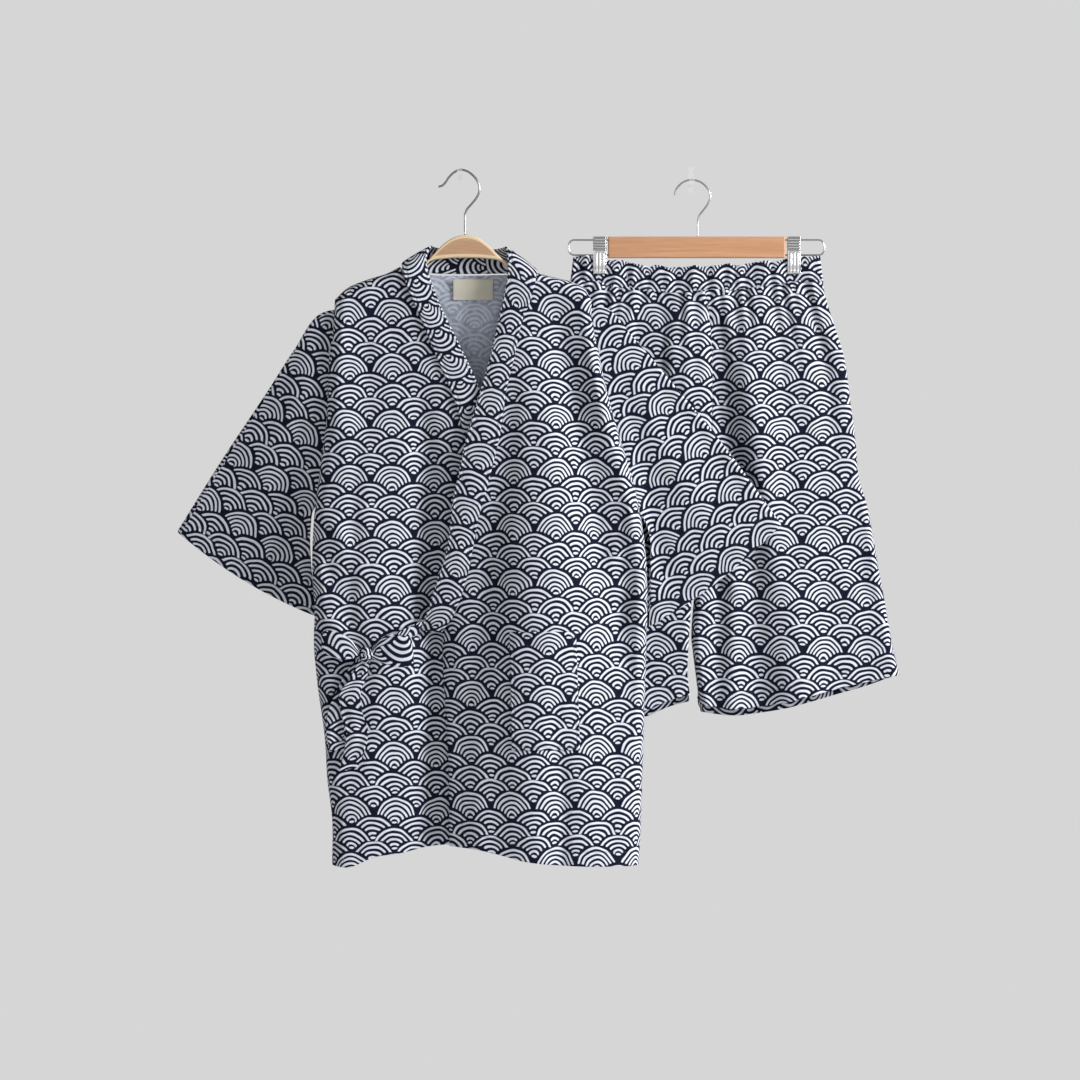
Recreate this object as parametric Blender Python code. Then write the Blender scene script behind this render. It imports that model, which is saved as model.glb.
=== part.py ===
"""Jinbei set: a kimono-collared jacket on a wooden hanger and shorts clipped to a bar hanger.

All tables are in millimetres. +X is to the right and +Z up for someone who faces the garments, and -Y is
towards them. The origin is the inner top of the jacket hanger's hook, where it rests on its wall hook.
Every cloth piece is a wall of its own. A flat piece is a patch stretched between four edge lines, with its
depth from a rule of place, and a sleeve or a band is a row of sections carried along a line.
"""

import bmesh
import bpy
import numpy as np

MM = 0.001

# Cloth
WALL = 1.5                # one layer of the printed cotton, as a wall
BAND_WALL = 3.0           # the collar and the waistband are folded double
SEAM = 0.3                # gap between two pieces that are sewn together
LAP = 0.6                 # gap between a piece and the one that it lies on

# Depths, as Y
JACKET_FRONT = -12.0      # front of the jacket where it leaves the shoulder
OVER_DROP = 7.0           # how far the over front stands out below the chest
JACKET_BACK = 12.0        # back of the jacket
SIDE_ROUND = 14.0         # radius of the jacket's side
SHOULDER_ROUND = 12.0     # radius over the shoulder
SHORTS_PLANE = 44.0       # middle of the shorts and of their hanger
SHORTS_ROUND = 9.0        # radius of the shorts' side
WALL_PLANE = 76.0         # the wall behind everything

# Heights, as Z
UNDERARM_RIGHT = -430.0
UNDERARM_LEFT = -445.0
UNDERARM_BLEND = 35.0     # the side closes over this much below the underarm
CHEST = (-190.0, -330.0)  # the over front comes forward between these
NECK_BASE = -100.0

# Where the rows and columns of each grid lie, as shares of its edges: close together where it turns
BODY_ROWS = [
    0, 0.005, 0.012, 0.024, 0.05, 0.1, 0.163, 0.226, 0.29, 0.353, 0.416, 0.479, 0.545, 0.612,
    0.678, 0.744, 0.81, 0.876, 0.938, 1,
]
FRONT_COLUMNS = [0, 0.107, 0.213, 0.32, 0.404, 0.488, 0.571, 0.645, 0.745, 0.84, 0.93, 0.97, 0.99, 1]
BACK_COLUMNS = [
    0, 0.007, 0.02, 0.045, 0.11, 0.2, 0.28, 0.37, 0.46, 0.56, 0.65, 0.73, 0.81, 0.88, 0.955, 0.98, 0.993, 1,
]
LEG_COLUMNS = [0, 0.02, 0.07, 0.2, 0.35, 0.5, 0.65, 0.8, 0.93, 0.98, 1]
LEG_ROWS_PER_STEP = 1.5
SLEEVE_ROWS = 9
NECK_STEPS = (5, 20)           # the collar's rows that have one more between each two

# Outlines, each a line of (x, z)
SHOULDER_RIGHT = [(-157.5, -161), (-145, -148.5), (-117.5, -136), (-92, -128), (-76, -119.5)]
SHOULDER_LEFT = [(98, -128.5), (120, -134), (145, -141), (156, -148), (163, -162)]
SIDE_RIGHT = [
    (-158.8, -164), (-159, -194), (-164, -229), (-167.5, -306), (-177.5, -384), (-184, -440), (-186, -486),
    (-183, -557), (-184, -586), (-180, -636), (-170, -711), (-167, -761), (-161, -811), (-161, -866),
]
SIDE_LEFT = [
    (163, -165), (164, -187), (174, -237), (183, -278), (196, -325), (210, -370), (221, -415), (229, -460),
    (232.5, -505), (231.5, -599), (229, -686), (226, -786), (222.5, -866),
]
NECK_SEAM_RIGHT = [
    (-75, -121.5), (-68, -147), (-50, -188), (-29, -240), (-10, -285), (3, -329), (25, -392), (51, -467),
    (74, -551), (82, -640), (88, -740), (90, -861),
]
NECK_SEAM_LEFT = [
    (96.5, -130), (86, -165), (76, -189), (66, -236), (57.5, -274), (51, -318), (45, -351), (33, -399),
    (24, -426), (12.5, -484), (6, -514), (-8, -551), (-20, -578), (-19, -640), (-15, -740), (-14, -841),
]
NECK_SEAM_BACK = [(-76, -121), (-60, -126.5), (-40, -129), (10, -130), (62, -129), (80, -129), (98, -130)]
HEM_RIGHT = [(-161, -866), (-141, -868), (-106, -855), (-77, -851), (-42, -843), (-12, -840), (40, -850), (90, -861)]
HEM_LEFT = [(-14, -841), (25, -846), (59, -854), (78, -859), (99, -862), (157, -866), (222.5, -866)]
HEM_BACK = [(-161, -865), (-106, -853), (-42, -840), (10, -839), (59, -850), (99, -858), (222.5, -864)]

# A soft ridge runs from (x0, z0) to (x1, z1): its half width, and how far it stands out. Minus is a trough.
FRONT_RIDGES = [
    # x0, z0, x1, z1, half width, height
    (99, -250, 76, -900, 52, 15),
    (118, -165, 200, -600, 20, -7),
    (-95, -300, -98, -900, 58, 8),
    (-52, -330, -32, -880, 17, -4),
    (160, -640, 176, -900, 34, 5),
]
BACK_RIDGES = [
    # x0, z0, x1, z1, half width, height
    (-70, -300, -90, -880, 45, 7),
    (60, -260, 70, -880, 50, 8),
    (150, -400, 165, -880, 26, 4),
]
RIDGE_FADE = 110.0        # length over which a ridge rises at each end

# Collar: its inner edge, its outer edge, and the depth of each
COLLAR = [
    # inner x, z, y, outer x, z, y
    (109, -537, -15, 76, -549, -15),
    (86, -449, -15, 52, -464, -15),
    (61, -374, -15, 27, -391, -15),
    (39, -311, -15, 4, -328, -15),
    (22, -268, -15.5, -9, -284, -16),
    (5, -231, -15.5, -28, -239, -16),
    (-22, -176, -14.5, -49, -187, -16),
    (-37, -139, -12, -66.5, -147, -15.5),
    (-43, -112, -8, -72, -127, -14.5),
    (-38, -95, 0, -73, -115.5, 0),
    (-32, -95, 9.5, -60, -124, 10.5),
    (-14, -98, 14, -30, -127.5, 15.5),
    (10, -99, 15, 10, -128, 16),
    (34, -98, 14, 52, -127.5, 15.5),
    (50, -96, 9.5, 82, -126.5, 10.5),
    (56, -96, 0, 94, -124, 0),
    (58, -112, -9, 94, -133, -12),
    (57, -138, -13, 88, -160, -17),
    (47, -185, -17, 76, -190, -20),
    (37, -229, -20, 66, -237, -23),
    (26, -269, -22, 57, -275, -25),
    (15, -306, -24, 51, -318, -27),
    (5, -340, -24, 44, -352, -28),
    (-4, -384, -23.5, 32, -400, -27),
    (-10, -411, -23, 24, -427, -25.5),
    (-17, -470, -22.5, 13, -484, -24.5),
    (-27, -503, -22, 6, -515, -24),
    (-41, -548, -22, -8, -553, -24),
    (-52, -573, -22, -24, -577, -24),
]

# Sleeves: top fold, lower fold, and the depth of the middle of each section
SLEEVE_RIGHT_TOP = [
    # x, z, y
    (-152, -171, 0), (-172, -176.5, 1), (-209, -224, 5), (-242, -274, 10), (-301, -361, 22), (-357, -449, 34),
]
SLEEVE_RIGHT_LOW = [
    # x, z, y
    (-170, -408, 0), (-186, -426, 3), (-189, -447, 9), (-189, -480, 14), (-186, -515, 17), (-181, -556, 19),
]
SLEEVE_LEFT_TOP = [
    # x, z, y
    (156, -173, 0), (176, -170, 1), (215, -208, 3), (262, -262, 6), (331, -346, 11), (400, -441, 15),
]
SLEEVE_LEFT_LOW = [
    # x, z, y
    (216, -424, 0), (230, -441, 3), (236, -462, 8), (236, -492, 13), (234, -528, 16), (230, -571, 18),
]
SLEEVE_THICK = (4.0, 6.0)  # half of the sleeve's depth, front to back, at the armhole and the cuff
SLEEVE_CUFF_SAG = 9.0     # the cuff's line bows down by this

POCKET_CELLS = (13, 16, 3, 7)   # rows and columns of the over front's cells that the pocket covers
POCKET_WALL = 1.3
LABEL = (-10, -161, 40, -135)   # low x, low z, high x, high z
LABEL_WALL = 1.0

# Bow: each strip's middle line and its half width
TIE_STRAP = [
    # x, z, y, half width
    (-54, -568, -27.5, 8), (-72, -580, -30, 8), (-90, -590, -31, 7), (-108, -598, -31.5, 5),
]
TIE_LOOP_RIGHT = [
    # x, z, y, half width
    (-107.6, -600, -39, 6), (-92, -588, -41, 9), (-72, -591, -42, 10), (-63, -602, -42, 10),
    (-72, -612, -42, 10), (-92, -613, -41, 9), (-107.6, -607, -39, 6),
]
TIE_LOOP_LEFT = [
    # x, z, y, half width
    (-128.4, -600, -39, 6), (-143, -588, -40, 9), (-160, -586, -40, 10), (-170, -594, -40, 10),
    (-164, -605, -40, 10), (-146, -609, -40, 9), (-128.4, -607, -39, 6),
]
TIE_TAIL_LONG = [
    # x, z, y, half width
    (-119, -616.5, -36, 7), (-127, -632, -36, 10), (-138, -652, -35, 11), (-135, -676, -34, 12),
    (-129, -698, -33, 12), (-132, -722, -32, 11), (-139, -746, -31, 10),
]
TIE_TAIL_SHORT = [
    # x, z, y, half width
    (-124, -616.5, -31, 7), (-138, -640, -30.5, 9), (-152, -672, -29.5, 10), (-156, -700, -28, 10), (-153, -722, -27, 9),
]
TIE_WALL = 1.6
KNOT = (-118, -604, -38.5, 9, 8, 10)   # centre x, z, y and half sizes in x, y, z

# Shorts
WAIST_TOP = [
    (140.5, -106), (164, -104.5), (184, -108.5), (216, -113.5), (272, -118), (316, -116), (366, -113.5),
    (398, -109.5), (425, -104.5), (451.5, -105.5),
]
WAIST_COLUMNS = 25
WAIST_BAND = 32.0
WAIST_WALL = 2.0
WAIST_BOTTOM_SPREAD = 4.0      # the band is this much wider at its lower edge
WAIST_THICK = 4.5              # half of the waistband's depth
CLIP_PINCH = 3.2               # and where a clip holds it
LEG_TOP = 6.7                  # half of the leg's depth below the waistband
LEG_THICK = 15.0               # and at the hem
LEG_SIDE_LEFT = [              # viewer's right, the wearer's left
    (455, -141), (459, -158), (469, -190), (481, -229), (490, -291), (496, -336), (501, -386), (510, -416),
    (519, -461), (527.5, -511), (533, -540), (541, -586), (551, -630),
]
LEG_SIDE_RIGHT = [
    (137, -141), (133, -158), (124, -190), (112, -229), (102, -291), (96, -336), (91, -386), (82, -416),
    (73, -461), (64, -511), (59, -540), (51, -586), (42, -630),
]
CENTRE_SEAM = [(306, -148), (313, -190), (316, -250), (314, -324), (305, -410), (296, -486)]
INSEAM_LEFT = [(294, -520), (289.5, -575), (291, -600), (295, -632), (301, -668)]
INSEAM_RIGHT = [(291, -520), (286.5, -575), (285, -600), (284, -629), (287, -655)]
LEG_HEM_LEFT = [(301, -668), (344, -673), (379, -669), (410, -664), (441, -656), (472, -647.5), (503, -640), (551, -630)]
LEG_HEM_RIGHT = [
    (42, -630), (90, -644), (130, -656), (170, -668), (205, -674), (233, -674), (256, -664), (270, -659), (287, -655),
]
BACK_HEM_DROP = 9.0
LEG_RIDGES = [
    # x0, z0, x1, z1, half width, height
    (406, -180, 420, -640, 34, 6),
    (352, -210, 366, -420, 17, -7),
    (236, -190, 238, -300, 16, -5),
    (350, -480, 352, -700, 18, 5),
    (480, -200, 512, -600, 20, -3),
    (170, -240, 130, -640, 30, 5),
    (270, -160, 262, -330, 18, 3),
]

# Hangers
WIRE = 1.5                     # radius of a hook's wire
JACKET_HOOK_X = 5.0            # the stem
JACKET_HOOK_CENTRE = (-1.9, -23.3)
JACKET_HOOK_R = 24.8
SHORTS_HOOK_X = 297.5
SHORTS_HOOK_CENTRE = (290.6, -30.4)
SHORTS_HOOK_R = 22.4
WOOD_TOP = [
    (-146, -161), (-143, -154.5), (-117, -142.5), (-80, -130), (-46, -116), (-34, -104), (-20, -90), (-6, -82),
    (5, -80), (17, -82), (32, -91), (46, -105), (60, -116), (99, -134), (143, -147), (149, -152), (152, -160),
]
WOOD_BOTTOM = [
    (150, -166), (140, -164), (99, -152), (62, -128), (49, -113), (30, -109.5), (5, -108.5), (-20, -109.5),
    (-39, -113), (-52, -127), (-80, -146), (-120, -160), (-139, -167),
]
WOOD_HALF = 6.0
BAR = (184.4, -106.2, 407.6, -79.5)        # low x, low z, high x, high z
BAR_HALF = 6.0
LOOP_WIRE = 1.4
LOOP = (135, -102.5, 456.5, -83.5)     # the wire that carries the clips
LOOP_CORNER = 7.0
CLIP_X = (174.0, 418.6)
CLIP_HALF = 8.6
CLIP_GRIP = 0.9                        # gap between a jaw and the pinched band
CLIP_TOP = -79.5
CLIP_LOW = -127.0
JAW = 1.4                              # thickness of a clip's plate
PEG_X = (-1.9, 290.0)                  # where the wall hooks stand
PEG_GAP = 0.9
PEG_HALF = 3.2
PEG_RISE = 20.0
PEG_DROP = 7.0
PEG_PLATE = 2.5
PEG_ARM = 4.0
PEG_LIP = 3.0

COLOURS = {
    # slot: red, green, blue, alpha, roughness, metallic
    "printed_cotton": (0.42, 0.43, 0.48, 1.0, 0.85, 0.0),
    "label_cloth": (0.78, 0.74, 0.64, 1.0, 0.8, 0.0),
    "hanger_wood": (0.72, 0.52, 0.35, 1.0, 0.4, 0.0),
    "hook_steel": (0.72, 0.72, 0.72, 1.0, 0.25, 1.0),
    "clip_chrome": (0.82, 0.82, 0.82, 1.0, 0.12, 1.0),
    "clear_plastic": (0.86, 0.87, 0.87, 0.5, 0.15, 0.0),
}


# Lines and patches

def line_through(rows, shares, by_row=False):
    """Points at these shares of one smooth line through the rows: cubic pieces whose slopes agree.

    A share is of the line's length or, by row, of the count of its rows. A whole number means that many
    points, evenly spaced.
    """
    known = np.asarray(rows, float)
    wanted = np.linspace(0.0, 1.0, shares) if isinstance(shares, int) else np.asarray(shares, float)
    steps = np.ones(len(known) - 1) if by_row else np.linalg.norm(np.diff(known, axis=0), axis=1)
    along = np.concatenate([[0.0], np.cumsum(steps)])
    along /= along[-1]
    slope = np.gradient(known, along, axis=0)
    k = np.clip(np.searchsorted(along, wanted, side="right") - 1, 0, len(known) - 2)
    span = (along[k + 1] - along[k])[:, None]
    s = (wanted - along[k])[:, None] / span
    return (
        (2 * s**3 - 3 * s**2 + 1) * known[k]
        + (s**3 - 2 * s**2 + s) * span * slope[k]
        + (3 * s**2 - 2 * s**3) * known[k + 1]
        + (s**3 - s**2) * span * slope[k + 1]
    )


def patch_between(top, bottom, left, right, columns, rows):
    """Coons patch: the lines across it blended, plus the lines down it blended, less the four corners blended."""
    u = np.asarray(columns, float)[None, :, None]
    v = np.asarray(rows, float)[:, None, None]
    corners = (
        (1 - u) * (1 - v) * (top[0] + left[0]) / 2
        + u * (1 - v) * (top[-1] + right[0]) / 2
        + (1 - u) * v * (bottom[0] + left[-1]) / 2
        + u * v * (bottom[-1] + right[-1]) / 2
    )
    across = (1 - v) * top[None] + v * bottom[None]
    down = (1 - u) * left[:, None] + u * right[:, None]
    return across + down - corners


def smooth_step(value, low, high):
    t = np.clip((value - low) / (high - low), 0, 1)
    return t * t * (3 - 2 * t)


def rounded(distance, radius):
    """Height of a quarter circle at this distance in from its edge: 0 at the edge, 1 from the radius on."""
    t = np.clip(distance / radius, 0, 1)
    return np.sqrt(1 - (1 - t) ** 2)


def ridges(x, z, rows):
    """Sum of soft ridges: a bell across each one's line, times a rise at both ends."""
    total = np.zeros_like(x)
    for x0, z0, x1, z1, half, height in rows:
        t = (z - z0) / (z1 - z0)
        middle = x0 + (x1 - x0) * t
        rise = smooth_step(z0 - z, 0, RIDGE_FADE) * smooth_step(z - z1, 0, RIDGE_FADE * 0.4)
        total += height * rise * np.exp(-(((x - middle) / half) ** 2))
    return total


# Where the jacket's layers lie

def shoulder_height(x, neck):
    """Height of the shoulder line above each x, held level at `neck` across the neck."""
    right = np.array(SHOULDER_RIGHT)
    left = np.array(SHOULDER_LEFT)
    xs = np.concatenate([right[:, 0], [-60, 84], left[:, 0]])
    zs = np.concatenate([right[:, 1], [neck, neck], left[:, 1]])
    return np.interp(x, xs, zs)


def side_at(rows, z):
    """The x of a side line at each height, on the same smooth line that the patches use."""
    fine = line_through(rows, 200)[::-1]
    return np.interp(z, fine[:, 1], fine[:, 0])


def side_opening(x, z):
    """1 beside the armhole, where the sleeve passes out, and 0 below it, where the side is closed."""
    middle = 30.0
    underarm = np.where(x < middle, UNDERARM_RIGHT, UNDERARM_LEFT)
    return smooth_step(z, underarm - UNDERARM_BLEND, underarm)


def across_side(x, z, full, face):
    """Depth that falls off to the side seam: to the middle below the underarm, part way at the armhole."""
    inset = np.minimum(x - side_at(SIDE_RIGHT, z), side_at(SIDE_LEFT, z) - x)
    edge = face * (0.2 + 9.3 * side_opening(x, z))
    return edge + (full - edge) * rounded(inset + 0.4, SIDE_ROUND)


def front_depth(x, z, forward):
    """Front of the jacket: out from the shoulder line round a quarter circle, then down with its folds."""
    full = JACKET_FRONT - forward - ridges(x, z, FRONT_RIDGES)
    full = full - 3.0 * smooth_step(-z, 300, 800)
    below = shoulder_height(x, NECK_BASE - 18) - z
    shoulder = rounded(below, SHOULDER_ROUND)
    return across_side(x, z, full, -1) * shoulder - SEAM / 2


def over_depth(x, z):
    return front_depth(x, z, OVER_DROP * smooth_step(-z, -CHEST[0], -CHEST[1]))


def under_depth(x, z):
    """The under front keeps the body's folds where it shows, and lies flat where the over front covers it."""
    covered = smooth_step(x, -40, 0) * smooth_step(-z, 240, 330)
    folds = front_depth(x, z, 0.0)
    return folds + (JACKET_FRONT - 1.0 - folds) * covered


def back_depth(x, z):
    full = JACKET_BACK + ridges(x, z, BACK_RIDGES)
    below = shoulder_height(x, NECK_BASE + 4) - z
    return across_side(x, z, full, 1) * rounded(below, SHOULDER_ROUND) + SEAM / 2


def with_depth(flat, rule):
    """(x, z) points lifted to (x, y, z)."""
    x, z = flat[..., 0], flat[..., 1]
    return np.stack([x, rule(x, z), z], axis=-1)


# Walls

def normals_of(points):
    """Unit normals of a grid of points, towards the side where columns cross rows."""
    down = np.gradient(points, axis=0)
    across = np.gradient(points, axis=1)
    normal = np.cross(down, across)
    return normal / np.linalg.norm(normal, axis=-1, keepdims=True)


def set_edge_normals(normal, seams):
    """A seam's cut face stands square to its line, so two pieces keep one gap through the cloth."""
    for edge, direction in seams.items():
        direction = np.asarray(direction, float)
        direction = direction / np.linalg.norm(direction, axis=-1, keepdims=True)
        if edge == "top":
            normal[0, :] = direction
        if edge == "bottom":
            normal[-1, :] = direction
        if edge == "left":
            normal[:, 0] = direction
        if edge == "right":
            normal[:, -1] = direction
    return normal


def material_for(slot):
    material = bpy.data.materials.get(slot) or bpy.data.materials.new(slot)
    red, green, blue, alpha, roughness, metallic = COLOURS[slot]
    material.use_nodes = True
    shader = material.node_tree.nodes["Principled BSDF"]
    shader.inputs["Base Color"].default_value = (red, green, blue, 1.0)
    shader.inputs["Alpha"].default_value = alpha
    shader.inputs["Roughness"].default_value = roughness
    shader.inputs["Metallic"].default_value = metallic
    material.diffuse_color = (red, green, blue, alpha)
    return material


def add_solid(name, slot, points, faces):
    mesh = bpy.data.meshes.new(name)
    mesh.from_pydata((np.asarray(points, float) * MM).tolist(), [], np.asarray(faces).tolist())
    built = bmesh.new()
    built.from_mesh(mesh)
    bmesh.ops.recalc_face_normals(built, faces=built.faces)
    if built.calc_volume(signed=True) < 0:
        bmesh.ops.reverse_faces(built, faces=built.faces)
    built.to_mesh(mesh)
    built.free()
    mesh.materials.append(material_for(slot))
    mesh.shade_smooth()
    bpy.context.scene.collection.objects.link(bpy.data.objects.new(name, mesh))


def wall_between(name, slot, outer, inner, ring=False):
    """A closed wall from an outer and an inner grid. With ring, the last column joins the first."""
    rows, columns = outer.shape[:2]
    index = np.arange(rows * columns).reshape(rows, columns)
    if ring:
        index = np.concatenate([index, index[:, :1]], axis=1)
    a, b, c, d = index[:-1, :-1], index[:-1, 1:], index[1:, 1:], index[1:, :-1]
    skin = np.concatenate([
        np.stack([a, b, c], -1).reshape(-1, 3),
        np.stack([a, c, d], -1).reshape(-1, 3),
    ])
    lower = rows * columns
    rims = [index[0], index[-1]] if ring else [index[0], index[-1], index[:, 0], index[:, -1]]
    edges = np.concatenate([np.stack([rim[:-1], rim[1:]], -1) for rim in rims])
    p, q = edges[:, 0], edges[:, 1]
    rim_faces = np.concatenate([
        np.stack([p, q, q + lower], -1),
        np.stack([p, q + lower, p + lower], -1),
    ])
    faces = np.concatenate([skin, skin[:, ::-1] + lower, rim_faces])
    points = np.concatenate([outer.reshape(-1, 3), inner.reshape(-1, 3)])
    add_solid(name, slot, points, faces)


def cloth_wall(name, points, seams, face=-1):
    """A wall from its outer grid, thickened inwards along its normals. `face` -1 looks forward, 1 back."""
    normal = normals_of(points)
    normal *= np.sign(normal[..., 1].mean()) * face
    normal = set_edge_normals(normal, seams)
    wall_between(name, "printed_cotton", points, points - normal * WALL)
    return normal


def side_normals(line, side, face):
    """At the side seam the cut face looks sideways, and beside the armhole it looks out of the body."""
    opening = side_opening(line[:, 0], line[:, 1])[:, None]
    closed = np.array([side, 0.0, 0.0])
    beside_armhole = np.array([0.25 * side, face, 0.0])
    return closed * (1 - opening) + beside_armhole * opening


# Jacket

def make_back():
    shoulders = SHOULDER_RIGHT[:-1] + NECK_SEAM_BACK + SHOULDER_LEFT[1:]
    top = line_through(shoulders, BACK_COLUMNS)
    hem = line_through(HEM_BACK, BACK_COLUMNS)
    left = line_through([SHOULDER_RIGHT[0]] + SIDE_RIGHT[1:], BODY_ROWS)
    right = line_through([SHOULDER_LEFT[-1]] + SIDE_LEFT[1:], BODY_ROWS)
    flat = patch_between(top, hem, left, right, BACK_COLUMNS, BODY_ROWS)
    seams = {
        "left": side_normals(left, -1, 1),
        "right": side_normals(right, 1, 1),
        "top": (0, 0, 1),
    }
    cloth_wall("jacket_back", with_depth(flat, back_depth), seams, face=1)


def make_under_front():
    columns = [1 - share for share in FRONT_COLUMNS[::-1]]
    top = line_through(SHOULDER_RIGHT, columns)
    hem = line_through(HEM_RIGHT, columns)
    left = line_through([SHOULDER_RIGHT[0]] + SIDE_RIGHT[1:], BODY_ROWS)
    right = line_through([SHOULDER_RIGHT[-1]] + NECK_SEAM_RIGHT[1:], BODY_ROWS)
    flat = patch_between(top, hem, left, right, columns, BODY_ROWS)
    seams = {"left": side_normals(left, -1, -1), "top": (0, 0, 1)}
    cloth_wall("jacket_front_under", with_depth(flat, under_depth), seams)


def make_over_front():
    """The over front, and the pocket, which is some of its cells moved out."""
    top = line_through(SHOULDER_LEFT, FRONT_COLUMNS)
    hem = line_through(HEM_LEFT, FRONT_COLUMNS)
    left = line_through([SHOULDER_LEFT[0]] + NECK_SEAM_LEFT[1:], BODY_ROWS)
    right = line_through([SHOULDER_LEFT[-1]] + SIDE_LEFT[1:], BODY_ROWS)
    flat = patch_between(top, hem, left, right, FRONT_COLUMNS, BODY_ROWS)
    points = with_depth(flat, over_depth)
    seams = {"right": side_normals(right, 1, -1), "top": (0, 0, 1)}
    normal = cloth_wall("jacket_front_over", points, seams)
    row0, row1, column0, column1 = POCKET_CELLS
    spot = (slice(row0, row1 + 1), slice(column0, column1 + 1))
    inner = points[spot] + normal[spot] * LAP
    wall_between("patch_pocket", "printed_cotton", inner + normal[spot] * POCKET_WALL, inner)


def make_collar():
    """One folded band: a row of cross sections from its hidden end, round the neck, to the tie."""
    first, last = NECK_STEPS
    steps = np.concatenate([np.arange(first), np.arange(first, last, 0.5), np.arange(last, len(COLLAR))])
    rows = line_through(COLLAR, steps / (len(COLLAR) - 1), by_row=True)
    inner_edge = rows[:, [0, 2, 1]]
    outer_edge = rows[:, [3, 5, 4]]
    share = np.linspace(0, 1, 4)[None, :, None]
    face = inner_edge[:, None] + (outer_edge - inner_edge)[:, None] * share
    along = np.gradient(inner_edge + outer_edge, axis=0)
    normal = np.cross(outer_edge - inner_edge, along)
    normal /= np.linalg.norm(normal, axis=1, keepdims=True)
    crown = 0.8 * np.sin(np.pi * share)
    outer = face + normal[:, None] * (BAND_WALL / 2 + crown)
    inner = face - normal[:, None] * BAND_WALL / 2
    wall_between("jacket_collar", "printed_cotton", outer, inner)


def sleeve_ring(top, low, half, straight=5, turn=4):
    """A stadium round the line from the top fold to the lower one: its middle points and their directions."""
    axis = low - top
    axis /= np.linalg.norm(axis, axis=-1, keepdims=True)
    forward = np.array([0.0, -1.0, 0.0])
    out = forward - axis * (axis @ forward)[:, None]
    out /= np.linalg.norm(out, axis=-1, keepdims=True)
    start = top + axis * half
    end = low - axis * half
    turns = np.linspace(0, np.pi, turn + 2)[1:-1]
    ring = [(start + (end - start) * s, out) for s in np.linspace(0, 1, straight)]
    ring += [(end, out * np.cos(a) + axis * np.sin(a)) for a in turns]
    ring += [(start + (end - start) * s, -out) for s in np.linspace(1, 0, straight)]
    ring += [(start, -out * np.cos(a) - axis * np.sin(a)) for a in turns]
    middle = np.stack([m for m, _ in ring], axis=1)
    direction = np.stack([d for _, d in ring], axis=1)
    return middle, direction


def make_sleeve(name, top_rows, low_rows):
    """A flattened tube from inside the armhole to the cuff, whose line bows down between its two folds."""
    top = line_through(top_rows, SLEEVE_ROWS)[:, [0, 2, 1]]
    low = line_through(low_rows, SLEEVE_ROWS)[:, [0, 2, 1]]
    t = np.linspace(0, 1, SLEEVE_ROWS)[:, None]
    half = SLEEVE_THICK[0] + (SLEEVE_THICK[1] - SLEEVE_THICK[0]) * t
    middle, direction = sleeve_ring(top, low, half)
    share = np.linalg.norm(middle - top[:, None], axis=-1) / np.linalg.norm(low - top, axis=-1)[:, None]
    bow = np.clip(4 * share * (1 - share), 0, 1) * SLEEVE_CUFF_SAG * t**2
    along = np.gradient(top + low, axis=0)
    along /= np.linalg.norm(along, axis=-1, keepdims=True)
    middle = middle + along[:, None] * bow[..., None]
    outer = middle + direction * half[..., None]
    inner = middle + direction * (half[..., None] - WALL)
    wall_between(name, "printed_cotton", outer, inner, ring=True)


def make_label():
    x0, z0, x1, z1 = LABEL
    x, z = np.meshgrid(np.linspace(x0, x1, 3), np.linspace(z1, z0, 3))
    depth = JACKET_BACK - WALL - LAP
    outer = np.stack([x, np.full_like(x, depth - LABEL_WALL), z], axis=-1)
    inner = outer + np.array([0, LABEL_WALL, 0])
    wall_between("neck_label", "label_cloth", outer, inner)


# Bow

def strip(name, rows, count, across=3):
    """A strip of cloth along its middle line, as wide as its rows say, turned to face forward."""
    line = line_through(rows, count)
    middle = line[:, [0, 2, 1]]
    half = line[:, 3]
    along = np.gradient(middle, axis=0)
    flat_along = along * np.array([1, 0, 1])
    side = np.cross(flat_along, np.array([0.0, -1.0, 0.0]))
    side /= np.linalg.norm(side, axis=1, keepdims=True)
    share = np.linspace(-1, 1, across)[None, :, None]
    face = middle[:, None] + side[:, None] * share * half[:, None, None]
    normal = np.cross(side, along)
    normal /= np.linalg.norm(normal, axis=1, keepdims=True)
    crown = 0.5 * (1 - share**2)
    shift = normal[:, None] * TIE_WALL / 2
    wall_between(name, "printed_cotton", face + shift + normal[:, None] * crown, face - shift)


def loop(name, rows, count):
    """A bow's loop: a strip on edge, its width running forward, bent round and back to the knot."""
    line = line_through(rows, count)
    middle = line[:, [0, 2, 1]]
    along = np.gradient(middle, axis=0)
    out = np.cross(along, np.array([0.0, 1.0, 0.0]))
    out /= np.linalg.norm(out, axis=1, keepdims=True)
    share = np.linspace(-0.5, 0.5, 3)[None, :, None]
    width = line[:, 3][:, None, None]
    lean = np.array([0.0, 1.0, 0.0]) * 0.9
    face = middle[:, None] + lean * share * width
    shift = out[:, None] * TIE_WALL / 2
    wall_between(name, "printed_cotton", face + shift, face - shift)


def make_knot():
    x, z, y, half_x, half_y, half_z = KNOT
    mesh = bpy.data.meshes.new("tie_knot")
    built = bmesh.new()
    bmesh.ops.create_uvsphere(built, u_segments=12, v_segments=8, radius=1.0)
    for corner in built.verts:
        corner.co.x = (x + corner.co.x * half_x) * MM
        corner.co.y = (y + corner.co.y * half_y) * MM
        corner.co.z = (z + corner.co.z * half_z) * MM
    built.to_mesh(mesh)
    built.free()
    mesh.materials.append(material_for("printed_cotton"))
    mesh.shade_smooth()
    bpy.context.scene.collection.objects.link(bpy.data.objects.new("tie_knot", mesh))


# Shorts

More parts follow.
